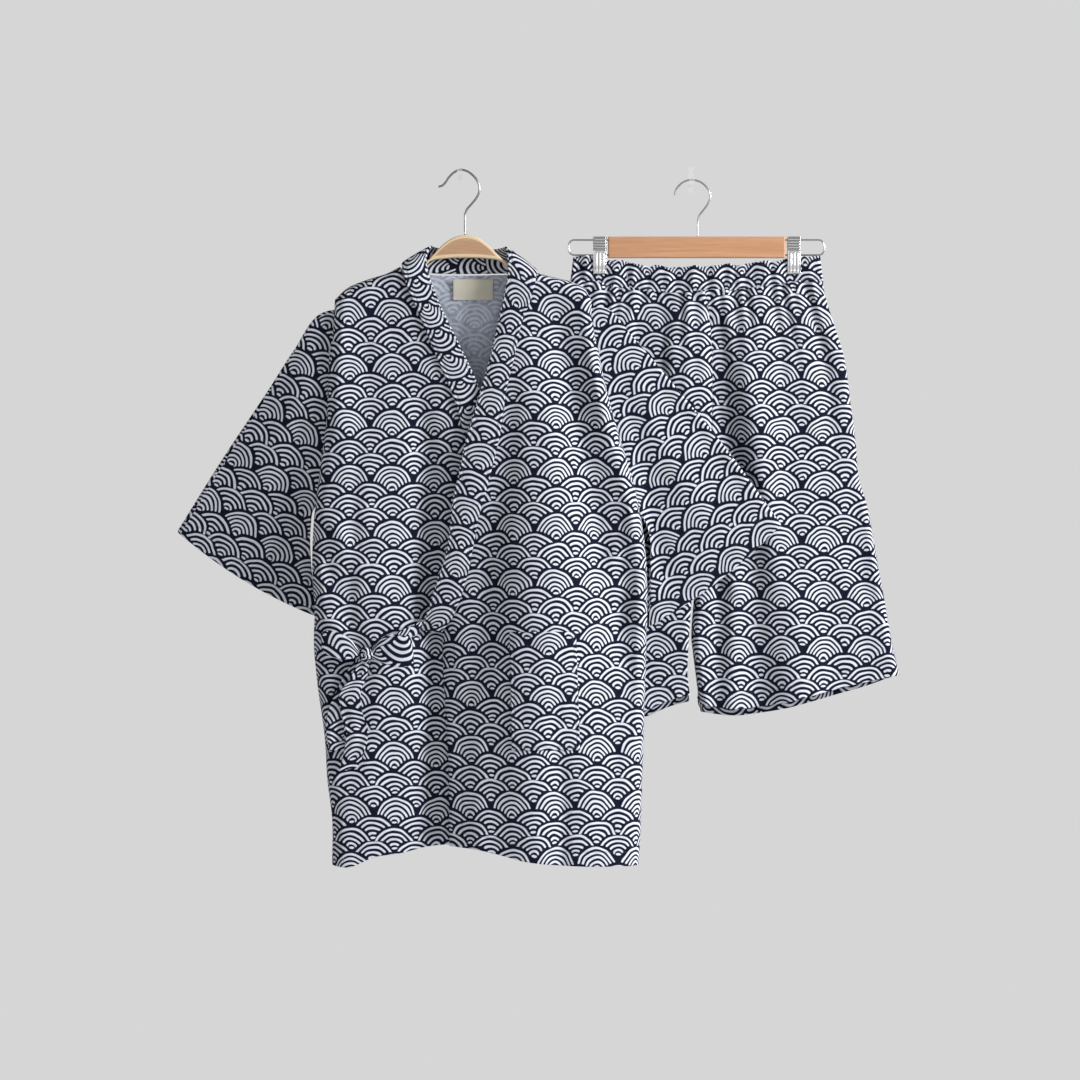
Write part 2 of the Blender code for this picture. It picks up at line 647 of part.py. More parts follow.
def leg_depth(x, z, face):
    full = LEG_TOP + (LEG_THICK - LEG_TOP) * smooth_step(-z, 150, 560)
    folds = ridges(x, z, LEG_RIDGES) * (1.0 if face < 0 else 0.6)
    outer = np.minimum(x - side_at(LEG_SIDE_RIGHT, z), side_at(LEG_SIDE_LEFT, z) - x)
    seam = np.array(CENTRE_SEAM + INSEAM_LEFT)[::-1]
    gap = np.abs(x - np.interp(z, seam[:, 1], seam[:, 0]))
    below_crotch = smooth_step(-z, 486, 560)
    inner = rounded(gap + 0.4, SHORTS_ROUND) * below_crotch + 1 - below_crotch
    depth = (full + folds * rounded(outer, 30)) * rounded(outer + 0.4, SHORTS_ROUND) * inner
    return SHORTS_PLANE + face * (SEAM / 2 + depth)


def band_line(down):
    """The waistband's line at this share of its height, from its right side to its left."""
    line = line_through(WAIST_TOP, WAIST_COLUMNS)
    middle = line[:, 0].mean()
    spread = 1 + WAIST_BOTTOM_SPREAD / 155 * down
    return np.stack([middle + (line[:, 0] - middle) * spread, line[:, 1] - WAIST_BAND * down], axis=-1)


def band_bottom(x):
    line = band_line(1.0)
    return np.interp(x, line[:, 0], line[:, 1]) - 2 * SEAM


def leg_panel(name, side_rows, inseam_rows, hem_rows, face):
    """A front or back of one leg, from the band to the hem, between its side and its centre seam and inseam."""
    outward = 1 if side_rows is LEG_SIDE_LEFT else -1
    drop = BACK_HEM_DROP if face > 0 else 0.0
    hem = [(x, z - drop * rounded(abs(x - side_rows[-1][0]), 160.0)) for x, z in hem_rows]
    foot = hem[0] if outward > 0 else hem[-1]
    centre = [(x + outward * SEAM, z) for x, z in CENTRE_SEAM] + inseam_rows[:-1] + [foot]
    rows = np.linspace(0, 1, int((len(centre) - 1) * LEG_ROWS_PER_STEP) + 1)
    centre_line = line_through(centre, rows, by_row=True)
    side_line = line_through(side_rows, rows)
    centre_line[0, 1] = band_bottom(centre_line[0, 0])
    side_line[0, 1] = band_bottom(side_line[0, 0])
    left, right = (centre_line, side_line) if outward > 0 else (side_line, centre_line)
    across = left[0, 0] + (right[0, 0] - left[0, 0]) * np.array(LEG_COLUMNS)
    top = np.stack([across, band_bottom(across)], axis=-1)
    flat = patch_between(top, line_through(hem, LEG_COLUMNS), left, right, LEG_COLUMNS, rows)
    points = with_depth(flat, lambda x, z: leg_depth(x, z, face))
    below = smooth_step(-centre_line[:, 1], 480, 530)[:, None]
    inseam_normal = np.array([0.0, face, 0.0]) * (1 - below) + np.array([-outward, 0.0, 0.0]) * below
    outer, inner = ("right", "left") if outward > 0 else ("left", "right")
    cloth_wall(name, points, {outer: (outward, 0, 0), inner: inseam_normal}, face=face)


def make_waistband():
    """A flattened ring of folded cloth: a stadium section, pinched where the clips hold it."""
    side = np.repeat([-1.0, 1.0], WAIST_COLUMNS)
    outer = []
    inner = []
    for down in (0.0, 0.5, 1.0):
        line = band_line(down)
        x = np.concatenate([line[:, 0], line[::-1, 0]])
        z = np.concatenate([line[:, 1], line[::-1, 1]])
        middle = line[:, 0].mean()
        pinch = sum(np.exp(-(((x - clip) / 17) ** 4)) for clip in CLIP_X)
        half = WAIST_THICK + (CLIP_PINCH - WAIST_THICK) * np.clip(pinch, 0, 1)
        inset = np.minimum(x - x.min(), x.max() - x)
        half_out = half * rounded(inset + 0.6, WAIST_THICK)
        half_in = np.maximum(half - WAIST_WALL, 0.35) * rounded(inset, WAIST_THICK) + 0.3
        x_in = middle + (x - middle) * (1 - BAND_WALL / 156)
        outer.append(np.stack([x, SHORTS_PLANE + side * half_out, z], axis=-1))
        inner.append(np.stack([x_in, SHORTS_PLANE + side * half_in, z], axis=-1))
    wall_between("shorts_waistband", "printed_cotton", np.array(outer), np.array(inner), ring=True)


# Hangers and hooks

def wire(name, slot, points, radius):
    """A round wire along its points, with flat ends."""
    curve = bpy.data.curves.new(name, "CURVE")
    curve.dimensions = "3D"
    curve.bevel_depth = radius * MM
    curve.bevel_resolution = 2
    curve.use_fill_caps = True
    spline = curve.splines.new("POLY")
    spline.points.add(len(points) - 1)
    for point, (x, y, z) in zip(spline.points, points):
        point.co = (x * MM, y * MM, z * MM, 1.0)
    curve.materials.append(material_for(slot))
    bpy.context.scene.collection.objects.link(bpy.data.objects.new(name, curve))


def hook_points(centre, radius, stem_x, foot_z, plane):
    """A hanger's hook: an arc from the tip over the top to the far side, a slant back, and the stem."""
    angles = np.radians(np.linspace(178, -25, 22))
    arc = [(centre[0] + radius * np.cos(a), plane, centre[1] + radius * np.sin(a)) for a in angles]
    last = arc[-1]
    bend = [
        (last[0] - 4.5, plane, last[2] - 7.5),
        (stem_x + 4.0, plane, last[2] - 19.0),
        (stem_x + 1.0, plane, last[2] - 25.0),
        (stem_x, plane, last[2] - 31.0),
        (stem_x, plane, foot_z),
    ]
    return arc + bend


def prism(name, slot, outline, low, high, along, bevel=0.0):
    """A flat outline carried from low to high: along "y" it is in X and Z, and along "x" in Y and Z."""
    count = len(outline)
    ends = [(a, end, b) if along == "y" else (end, a, b) for end in (low, high) for a, b in outline]
    faces = [list(range(count)), list(range(2 * count - 1, count - 1, -1))]
    faces += [[i, (i + 1) % count, count + (i + 1) % count, count + i] for i in range(count)]
    mesh = bpy.data.meshes.new(name)
    mesh.from_pydata((np.array(ends) * MM).tolist(), [], faces)
    built = bmesh.new()
    built.from_mesh(mesh)
    bmesh.ops.recalc_face_normals(built, faces=built.faces)
    if bevel:
        rims = [e for e in built.edges if abs(e.verts[0].co.y - e.verts[1].co.y) < 1e-6]
        bmesh.ops.bevel(built, geom=rims, offset=bevel * MM, segments=2, profile=0.5, affect="EDGES")
    bmesh.ops.triangulate(built, faces=built.faces)
    built.to_mesh(mesh)
    built.free()
    mesh.materials.append(material_for(slot))
    bpy.context.scene.collection.objects.link(bpy.data.objects.new(name, mesh))


def make_jacket_hanger():
    outline = [tuple(p) for p in line_through(WOOD_TOP, 34)] + [tuple(p) for p in line_through(WOOD_BOTTOM, 26)]
    prism("jacket_hanger_wood", "hanger_wood", outline, -WOOD_HALF, WOOD_HALF, "y", bevel=1.6)
    points = hook_points(JACKET_HOOK_CENTRE, JACKET_HOOK_R, JACKET_HOOK_X, -79.4, 0.0)
    wire("jacket_hanger_hook", "hook_steel", points, WIRE)


def half_loop(side):
    """Half of the wire that carries the clips: out of the bar's end, round its corners and back."""
    x_end = LOOP[0] if side < 0 else LOOP[2]
    x_bar = BAR[0] - SEAM if side < 0 else BAR[2] + SEAM
    low, high = LOOP[1], LOOP[3]
    points = [(x_bar, SHORTS_PLANE, high)]
    for centre_z, start in ((high - LOOP_CORNER, 90), (low + LOOP_CORNER, 0)):
        for angle in np.radians(np.linspace(start, start - 90, 6)):
            x = x_end + side * (np.cos(angle) - 1) * LOOP_CORNER
            points.append((x, SHORTS_PLANE, centre_z + np.sin(angle) * LOOP_CORNER))
    points.append((x_bar, SHORTS_PLANE, low))
    return points


def make_jaw(name, x, face):
    """A clip's plate, bent in side view: a lip that grips the band, the plate, and a finger tab."""
    grip = CLIP_PINCH + CLIP_GRIP
    reach = [(grip, CLIP_LOW), (grip, CLIP_LOW + 6), (5.0, CLIP_LOW + 11), (5.0, -96), (6.4, CLIP_TOP)]
    back = [(y + JAW, z) for y, z in reach[::-1]]
    outline = [(SHORTS_PLANE + face * y, z) for y, z in reach + back]
    prism(name, "clip_chrome", outline, x - CLIP_HALF, x + CLIP_HALF, "x")


def make_shorts_hanger():
    x0, z0, x1, z1 = BAR
    outline = [(x0, z0), (x1, z0), (x1, z1), (x0, z1)]
    prism("shorts_hanger_bar", "hanger_wood", outline, SHORTS_PLANE - BAR_HALF, SHORTS_PLANE + BAR_HALF, "y", bevel=1.0)
    points = hook_points(SHORTS_HOOK_CENTRE, SHORTS_HOOK_R, SHORTS_HOOK_X, BAR[3] + SEAM, SHORTS_PLANE)
    wire("shorts_hanger_hook", "hook_steel", points, WIRE)
    for side, end in ((-1, "right"), (1, "left")):
        wire("shorts_hanger_wire_" + end, "hook_steel", half_loop(side), LOOP_WIRE)
    for x, end in zip(CLIP_X, ("right", "left")):
        make_jaw("clip_" + end + "_front", x, -1)
        make_jaw("clip_" + end + "_back", x, 1)


def make_wall_hook(name, x, hook_z, plane):
    """A plate on the wall, an arm under the hanger's hook, and a low lip in front of it, as one bent strip."""
    y_plate = WALL_PLANE - PEG_PLATE
    y_lip = plane - WIRE - 1.0
    top = hook_z - PEG_GAP
    outline = [
        (WALL_PLANE, hook_z - PEG_DROP - 5), (WALL_PLANE, hook_z + PEG_RISE), (y_plate, hook_z + PEG_RISE),
        (y_plate, top), (y_lip, top), (y_lip, top + PEG_LIP), (y_lip - 2, top + PEG_LIP),
        (y_lip - 2, top - PEG_ARM), (y_plate, top - PEG_ARM), (y_plate, hook_z - PEG_DROP - 5),
    ]
    prism(name, "clear_plastic", outline, x - PEG_HALF, x + PEG_HALF, "x")


def main():
    for old in list(bpy.data.objects):
        bpy.data.objects.remove(old)
    make_back()
    make_under_front()
    make_over_front()
    make_collar()
    make_sleeve("sleeve_right", SLEEVE_RIGHT_TOP, SLEEVE_RIGHT_LOW)
    make_sleeve("sleeve_left", SLEEVE_LEFT_TOP, SLEEVE_LEFT_LOW)
    make_label()
    strip("tie_strap", TIE_STRAP, 5)
    loop("tie_loop_right", TIE_LOOP_RIGHT, 13)
    loop("tie_loop_left", TIE_LOOP_LEFT, 13)
    strip("tie_tail_long", TIE_TAIL_LONG, 9)
    strip("tie_tail_short", TIE_TAIL_SHORT, 7)
    make_knot()
    make_waistband()
    for face, cut in ((-1, "front"), (1, "back")):
        leg_panel("shorts_" + cut + "_left", LEG_SIDE_LEFT, INSEAM_LEFT, LEG_HEM_LEFT, face)
        leg_panel("shorts_" + cut + "_right", LEG_SIDE_RIGHT, INSEAM_RIGHT, LEG_HEM_RIGHT, face)
    make_jacket_hanger()
    make_shorts_hanger()
    hook_tops = (
        (PEG_X[0], JACKET_HOOK_CENTRE[1] + JACKET_HOOK_R - WIRE, 0.0),
        (PEG_X[1], SHORTS_HOOK_CENTRE[1] + SHORTS_HOOK_R - WIRE, SHORTS_PLANE),
    )
    for (x, z, plane), garment in zip(hook_tops, ("jacket", "shorts")):
        make_wall_hook("wall_hook_" + garment, x, z, plane)


main()
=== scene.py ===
# %% [markdown]
# A jinbei set: a kimono-collared jacket on a wooden hanger, and shorts clipped to a bar hanger.
# The rigid frame comes first. It holds the sizes that every piece below has to keep.

import bpy
import mathutils
import numpy as np
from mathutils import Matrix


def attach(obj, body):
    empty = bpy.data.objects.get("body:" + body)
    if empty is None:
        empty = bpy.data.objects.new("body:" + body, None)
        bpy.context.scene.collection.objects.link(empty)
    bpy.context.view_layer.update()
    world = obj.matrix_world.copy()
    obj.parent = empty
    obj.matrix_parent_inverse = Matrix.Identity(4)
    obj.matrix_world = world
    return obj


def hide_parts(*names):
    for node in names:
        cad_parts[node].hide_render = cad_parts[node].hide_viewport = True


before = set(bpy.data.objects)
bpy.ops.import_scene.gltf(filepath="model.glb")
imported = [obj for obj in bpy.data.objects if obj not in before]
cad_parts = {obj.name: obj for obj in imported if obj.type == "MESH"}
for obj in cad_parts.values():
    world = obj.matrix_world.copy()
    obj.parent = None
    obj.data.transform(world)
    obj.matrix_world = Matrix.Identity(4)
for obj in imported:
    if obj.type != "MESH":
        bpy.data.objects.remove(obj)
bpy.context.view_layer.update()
MM = 0.001

# %% [markdown]
# Cloth that hangs flat is easiest to draft as a cutter does it: four edge lines on the table, and a
# patch stretched between them. Each line is a short table of millimetres with a smooth curve through
# it, and the patch is a Coons patch, which meets all four lines exactly.

# %% Lines and patches


def added_up(steps):
    """Lengths from the start: 0, and then the running sum of the steps."""
    return np.concatenate([[0.0], np.cumsum(steps)])


def steps_of(points, axis=0):
    """The length of each step between neighbouring points."""
    return np.linalg.norm(np.diff(points, axis=axis), axis=-1)


def stacked(*parts):
    """Coordinates, each stretched to the shape of the largest, as the last axis of one array."""
    return np.stack(np.broadcast_arrays(*parts), axis=-1)


def unit(vectors):
    return vectors / np.linalg.norm(vectors, axis=-1, keepdims=True)


def line_through(rows, shares, by_row=False):
    """Points at these shares of one smooth line through the rows: cubic pieces whose slopes agree.

    A share is of the line's length or, by row, of the count of its rows. A whole number means that
    many points, evenly spaced.
    """
    known = np.asarray(rows, float)
    wanted = np.linspace(0.0, 1.0, shares) if isinstance(shares, int) else np.asarray(shares, float)
    along = added_up(np.ones(len(known) - 1) if by_row else steps_of(known))
    along /= along[-1]
    slope = np.gradient(known, along, axis=0)
    k = np.clip(np.searchsorted(along, wanted, side="right") - 1, 0, len(known) - 2)
    span = (along[k + 1] - along[k])[:, None]
    s = (wanted - along[k])[:, None] / span
    return (
        (2 * s**3 - 3 * s**2 + 1) * known[k]
        + (s**3 - 2 * s**2 + s) * span * slope[k]
        + (3 * s**2 - 2 * s**3) * known[k + 1]
        + (s**3 - s**2) * span * slope[k + 1]
    )


def patch_between(top, bottom, left, right, columns, rows):
    """Coons patch: the lines across blended, plus the lines down blended, less the corners blended."""
    u = np.asarray(columns, float)[None, :, None]
    v = np.asarray(rows, float)[:, None, None]
    corners = (
        (1 - u) * (1 - v) * (top[0] + left[0]) / 2
        + u * (1 - v) * (top[-1] + right[0]) / 2
        + (1 - u) * v * (bottom[0] + left[-1]) / 2
        + u * v * (bottom[-1] + right[-1]) / 2
    )
    return (1 - v) * top[None] + v * bottom[None] + (1 - u) * left[:, None] + u * right[:, None] - corners


def smooth_step(value, low, high):
    """0 below low, 1 above high, and 3 t^2 - 2 t^3 between."""
    t = np.clip((value - low) / (high - low), 0, 1)
    return t * t * (3 - 2 * t)


def rounded(distance, radius):
    """Height of a quarter circle at this distance in from its edge: sqrt(1 - (1 - t)^2)."""
    t = np.clip(distance / radius, 0, 1)
    return np.sqrt(1 - (1 - t) ** 2)


def crowded(count, even_share):
    """Shares from 0 to 1: even steps by this share, and for the rest half a cosine wave."""
    even = np.linspace(0, 1, count)
    return even_share * even + (1 - even_share) / 2 * (1 - np.cos(np.pi * even))


def dense_at_ends(count, ends=0.004):
    """Shares from 0 to 1 that crowd towards both ends: half a cosine wave, blended with even steps."""
    even = np.linspace(0, 1, count)
    return (1 - ends) * (0.35 * even + 0.65 * (1 - np.cos(np.pi * even)) / 2) + ends * even


print("a quarter of the way down a 3, 4 line:", line_through([(0, 0), (3, -4)], [0.25]).round(2).tolist())

# %% [markdown]
# No fold on real cloth is a straight, even wave. Each large fold is listed in a table, and
# bends a little, widens along its length and fades at both ends. A sum of a few waves in different
# directions adds the small unevenness between the folds.

# %% Folds


def creases(x, z, rows):
    """Sum of soft folds: height * bell(distance from the bent line / half width) * fade at both ends."""
    total = np.zeros_like(x)
    for x0, z0, x1, z1, bend, half, height in rows:
        dx, dz = x1 - x0, z1 - z0
        length = np.hypot(dx, dz)
        t = ((x - x0) * dx + (z - z0) * dz) / length**2
        side = ((x - x0) * dz - (z - z0) * dx) / length - bend * 4 * t * (1 - t)
        fade = smooth_step(t, -0.05, 0.3) * smooth_step(1 - t, -0.05, 0.3)
        total += height * fade * np.exp(-((side / (half * (0.7 + 0.6 * np.clip(t, 0, 1)))) ** 2))
    return total


def uneven(x, z, length, seed, waves=6):
    """Waves of about this length, summed: their directions, phases and lengths are drawn once."""
    draw = np.random.default_rng(seed)
    total = 0.0 * (x + z)
    for _ in range(waves):
        turn, phase, stretch = draw.uniform(0, np.pi), draw.uniform(0, 2 * np.pi), draw.uniform(0.7, 1.6)
        reach = x * np.cos(turn) + z * np.sin(turn)
        total += np.sin(reach * 2 * np.pi / (length * stretch) + phase)
    return total / np.sqrt(waves)


print("unevenness, sample:", uneven(np.arange(3.0), np.zeros(3), 40, 1).round(2).tolist())

# %% [markdown]
# A finished grid of points becomes a mesh of quads. Cloth is printed on one side only, so a sheet
# gets its thickness from Solidify, which gives its inner face a second material. Two UV maps go with
# it, both in metres: "print" says where on the printed cloth a point was cut, and "sewing" holds the
# length along the nearest sewn edge and the distance from it, for the stitches.

# %% Grids into meshes

CLOTH = 0.9  # thickness of the visible sheet


def normals_of(points, closed=False):
    """Unit normals of a grid: the slope down it crossed with the slope across it."""
    down = np.gradient(points, axis=0)
    if closed:
        across = (np.roll(points, -1, axis=1) - np.roll(points, 1, axis=1)) / 2
    else:
        across = np.gradient(points, axis=1)
    normal = np.cross(down, across)
    return normal / np.maximum(np.linalg.norm(normal, axis=-1, keepdims=True), 1e-9)


def closed_up(grid):
    """A ring grid with its first column again at the end."""
    return np.concatenate([grid, grid[:, :1]], axis=1)


def surface(name, grid, materials, maps, closed=False, flip=False, sheet=CLOTH):
    """A grid of millimetres as a mesh of quads, smooth shaded; closed joins its last column to its first."""
    rows, columns = grid.shape[:2]
    index = np.arange(rows * columns).reshape(rows, columns)
    corner = np.arange(rows * (columns + closed)).reshape(rows, columns + closed)
    if closed:
        index = closed_up(index)

    def quads(of):
        four = [of[:-1, :-1], of[1:, :-1], of[1:, 1:], of[:-1, 1:]]
        return np.stack(four[::-1] if flip else four, axis=-1).reshape(-1, 4)

    mesh = bpy.data.meshes.new(name)
    mesh.from_pydata((grid.reshape(-1, 3) * MM).tolist(), [], quads(index).tolist())
    for label, where in maps.items():
        layer = mesh.uv_layers.new(name=label)
        layer.data.foreach_set("uv", (where.reshape(-1, 2)[quads(corner).reshape(-1)] * MM).ravel())
    for material in materials:
        mesh.materials.append(material)
    mesh.shade_smooth()
    mesh.update()
    piece = bpy.data.objects.new(name, mesh)
    bpy.context.scene.collection.objects.link(piece)
    if sheet:
        wall = piece.modifiers.new("cloth", "SOLIDIFY")
        wall.thickness = sheet * MM
        wall.offset = -1.0
        wall.material_offset = len(materials) - 1
        wall.material_offset_rim = 0
    return piece


def stand_for(piece, slot, *nodes):
    """The piece rides on the frame and is shown in place of these nodes."""
    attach(piece, "root")
    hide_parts(*nodes)
    low = np.array([v.co for v in piece.data.vertices]).min(axis=0)
    print(f"{piece.name}: {len(piece.data.polygons)} faces, lowest point z {low[2]:.3f} m")
    return piece


def laid_flat(grid, middle_row, middle_column, shift=(0.0, 0.0)):
    """Where each point was on the flat cloth: x and z at the middle, then lengths along the cloth.

    Across, the length is sqrt(dx^2 + dy^2), and up it is sqrt(dy^2 + dz^2), each with its own sign.
    """
    x, y, z = grid[..., 0], grid[..., 1], grid[..., 2]
    step_u = np.sign(np.diff(x, axis=1)) * np.hypot(np.diff(x, axis=1), np.diff(y, axis=1))
    run_u = np.concatenate([np.zeros_like(x[:, :1]), np.cumsum(step_u, axis=1)], axis=1)
    u = run_u - run_u[:, [middle_column]] + x[:, [middle_column]]
    step_v = np.sign(np.diff(z, axis=0)) * np.hypot(np.diff(z, axis=0), np.diff(y, axis=0))
    run_v = np.concatenate([np.zeros_like(z[:1]), np.cumsum(step_v, axis=0)], axis=0)
    v = run_v - run_v[[middle_row]] + z[[middle_row]]
    return stacked(u + shift[0], v + shift[1])


def with_hem(grid, flat, normal, tall=20.0, gap=1.9):
    """The sheet turned up inside at its last row: half a circle below the edge, then back up behind itself.

    Row by row the hem is the sheet's own points moved in by the gap, so it follows every fold.
    """
    rise = steps_of(grid[::-1]).mean(axis=1).cumsum()
    behind = np.arange(1, 2 + int(np.searchsorted(rise, tall)))
    up = unit(grid[-2] - grid[-1])
    inward = -normal[-1]
    turns = np.radians([35, 70, 110, 145])[:, None, None]
    middle = grid[-1] + inward * gap / 2
    fold = middle - (inward * np.cos(turns) + up * np.sin(turns)) * gap / 2
    hem = np.stack([grid[-1 - k] - normal[-1 - k] * gap for k in behind])
    drop = np.concatenate([gap * np.pi / 2 * np.array([0.2, 0.4, 0.6, 0.8]), gap * 1.5 + rise[behind - 1]])
    flat_hem = np.stack([flat[-1] - np.array([0.0, 1.0]) * d for d in drop])
    return np.concatenate([grid, fold, hem]), np.concatenate([flat, flat_hem])


def hemmed(grid, cut, normal):
    """The sheet and its flat places with the hem added, and every point's distance from the turned edge."""
    tall, edge = cut[..., 1] - cut[-1:, :, 1], len(cut)
    grid, cut = with_hem(grid, cut, normal)
    return grid, cut, np.concatenate([tall, cut[edge - 1, :, 1] - cut[edge:, :, 1]])


print("sheet thickness:", CLOTH, "mm")

# %% [markdown]
# Every finish is a small graph of shader nodes. The maths reads better as a formula than as a list of
# links, so one class wraps a node's output and lets Python's own operators add the Math nodes. One
# method adds any other node: its settings go in first, and then what its sockets take.

# %% Shader formulas


class Output:
    """A node's output. The operators + - * / on it, on either side of a number, add Math nodes."""

    def __init__(self, finish, socket):
        self.finish, self.socket = finish, socket

    def math(self, operation, *others):
        takes = dict(enumerate((self, *others)))
        return self.finish.add("ShaderNodeMath", {"operation": operation}, takes)[0]

    def __add__(self, other):
        return self.math("ADD", other)

    def __sub__(self, other):
        return self.math("SUBTRACT", other)

    def __mul__(self, other):
        return self.math("MULTIPLY", other)

    def __truediv__(self, other):
        return self.math("DIVIDE", other)

    def __rsub__(self, other):
        return self.finish.add("ShaderNodeMath", {"operation": "SUBTRACT"}, {0: other, 1: self})[0]

    __radd__ = __add__
    __rmul__ = __mul__

    def between(self, low, high, to_low=0.0, to_high=1.0):
        """A smooth step from one value to the other as this goes from low to high."""
        settings = {"interpolation_type": "SMOOTHSTEP"}
        takes = {"Value": self, "From Min": low, "From Max": high, "To Min": to_low, "To Max": to_high}
        return self.finish.add("ShaderNodeMapRange", settings, takes)[0]


class Finish:
    """One material: a Principled shader, and the graph that feeds it."""

    def __init__(self, name, color, roughness, **constants):
        self.material = bpy.data.materials.new(name)
        self.material.use_nodes = True
        self.tree = self.material.node_tree
        self.shader = self.tree.nodes["Principled BSDF"]
        self.shader.inputs["Base Color"].default_value = (*color, 1.0)
        self.shader.inputs["Roughness"].default_value = roughness
        for label, value in constants.items():
            self.shader.inputs[label.replace("_", " ")].default_value = value
        self.material.diffuse_color = (*color, 1.0)

    def add(self, kind, settings, takes):
        """A node of this kind, with its settings, then the values or links of its sockets."""
        node = self.tree.nodes.new(kind)
        for label, value in settings.items():
            if label == "stops":
                for position, shade in value[1:-1]:
                    node.color_ramp.elements.new(position).color = (*shade, 1.0)
                ends = (node.color_ramp.elements[0], node.color_ramp.elements[-1])
                for element, (position, shade) in zip(ends, (value[0], value[-1])):
                    element.position = position
                    element.color = (*shade, 1.0)
            else:
                setattr(node, label, value)
        for label, value in takes.items():
            socket = node.inputs[label]
            if isinstance(value, Output):
                self.tree.links.new(value.socket, socket)
            else:
                socket.default_value = value
        return [Output(self, socket) for socket in node.outputs]

    def feed(self, label, output):
        """Link an output to the shader's own socket."""
        self.tree.links.new(output.socket, self.shader.inputs[label])

    def colours(self, share, first, second):
        """The first colour at share 0 and the second at 1, mixed."""
        wraps = [(*c, 1.0) if isinstance(c, tuple) else c for c in (first, second)]
        return self.add("ShaderNodeMix", {"data_type": "RGBA"}, {0: share, 6: wraps[0], 7: wraps[1]})[2]

    def bump(self, height, distance, strength=1.0, under=None):
        """A Bump node over the height, in metres at height 1, on top of another bump."""
        takes = {"Height": height, "Distance": distance, "Strength": strength}
        if under is not None:
            takes["Normal"] = under
        return self.add("ShaderNodeBump", {}, takes)[0]

    def map(self, label):
        """The two coordinates of one of the piece's own UV maps, and the map itself."""
        where = self.add("ShaderNodeUVMap", {"uv_map": label}, {})[0]
        parts = self.add("ShaderNodeSeparateXYZ", {}, {0: where})
        return parts[0], parts[1], where


print("shader helpers ready")

# %% [markdown]
# The print is seigaiha, a sea of waves: rows of fans, each row half a fan aside from the next, each
# fan covering the two behind it. It is reckoned, not drawn. For any point of the cloth only two fans
# can show: one of the row just below and one of the row it lies in. Each asks how far the point is
# from its own centre, as a share q of its size. White arcs lie at even steps of q, navy lies between,
# and where the front fan starts, the arcs behind it end in a round tip.

# %% The wave print

PERIOD = 0.0543    # from one fan to the next in its row
ROW = 0.0173       # from one row to the next, on average
FAN_HALF = 0.482   # half a fan's width, in periods
FAN_TALL = 1.505   # a fan's height, in rows
TALLER = 0.30      # every fourth row's fans are this much taller
FOUR = (1.07, 2.25, 3.20)  # where the second, third and fourth row of each four lie
OUTER_ARC = 0.935  # q at the middle of the outer arc
RIM = 1.02         # a fan covers those behind it as far as this
TIP = 1.167        # and their arcs end in a round tip here
PITCH, TALLER_PITCH = 0.233, 0.179     # q from one arc to the next, and in a taller fan
ARC_HALF, TALLER_HALF = 0.053, 0.045   # half an arc's width, and in a taller fan
SOFT = 0.013       # q over which an arc's edge fades
BEHIND = 0.24      # a row's fans start to show this far below its own line, in rows
DOT_WIDE, DOT_TALL = 0.125, 0.085      # the half-moon at a small fan's foot
NAVY = (0.0052, 0.0068, 0.0200)
WHITE = (0.765, 0.795, 0.89)


def fan(finish, u, v, row):
    """q in this row's fan that is nearest to u, the distance to its arc, half an arc's width, and its dot."""
    in_four = row.math("FLOORED_MODULO", 4.0)
    place = in_four.math("GREATER_THAN", 0.5) * FOUR[0]
    place = place + in_four.math("GREATER_THAN", 1.5) * (FOUR[1] - FOUR[0])
    place = place + in_four.math("GREATER_THAN", 2.5) * (FOUR[2] - FOUR[1])
    taller = in_four.math("COMPARE", 1.0, 0.1)
    odd = row.math("FLOORED_MODULO", 2.0) * 0.5
    column = (u - odd + 0.5).math("FLOOR")
    cell = finish.add("ShaderNodeCombineXYZ", {}, {0: column, 1: row})[0]
    drawn = finish.add("ShaderNodeTexWhiteNoise", {"noise_dimensions": "2D"}, {"Vector": cell})[1]
    lot = finish.add("ShaderNodeSeparateColor", {}, {0: drawn})
    up = v - row + in_four - place
    across = u - odd - column + up * (lot[0] - 0.5) * 0.06
    wide = across * (1 / FAN_HALF)
    tall = up / (lot[1] * 0.10 + (FAN_TALL - 0.05) + taller * TALLER)
    q = (wide * wide + tall * tall).math("SQRT")
    pitch = PITCH - taller * (PITCH - TALLER_PITCH)
    steps = (OUTER_ARC - q) / pitch
    nearest = (steps + 0.5).math("FLOOR").math("MAXIMUM", 0.0).math("MINIMUM", taller + 3.0)
    dot_x, dot_y = wide * (1 / DOT_WIDE), (up - 0.02) * (1 / DOT_TALL)
    dot = 1.0 - (dot_x * dot_x + dot_y * dot_y).math("SQRT")
    arc_half = ARC_HALF - taller * (ARC_HALF - TALLER_HALF)
    return q, (steps - nearest).math("ABSOLUTE") * pitch, arc_half, dot * 0.10


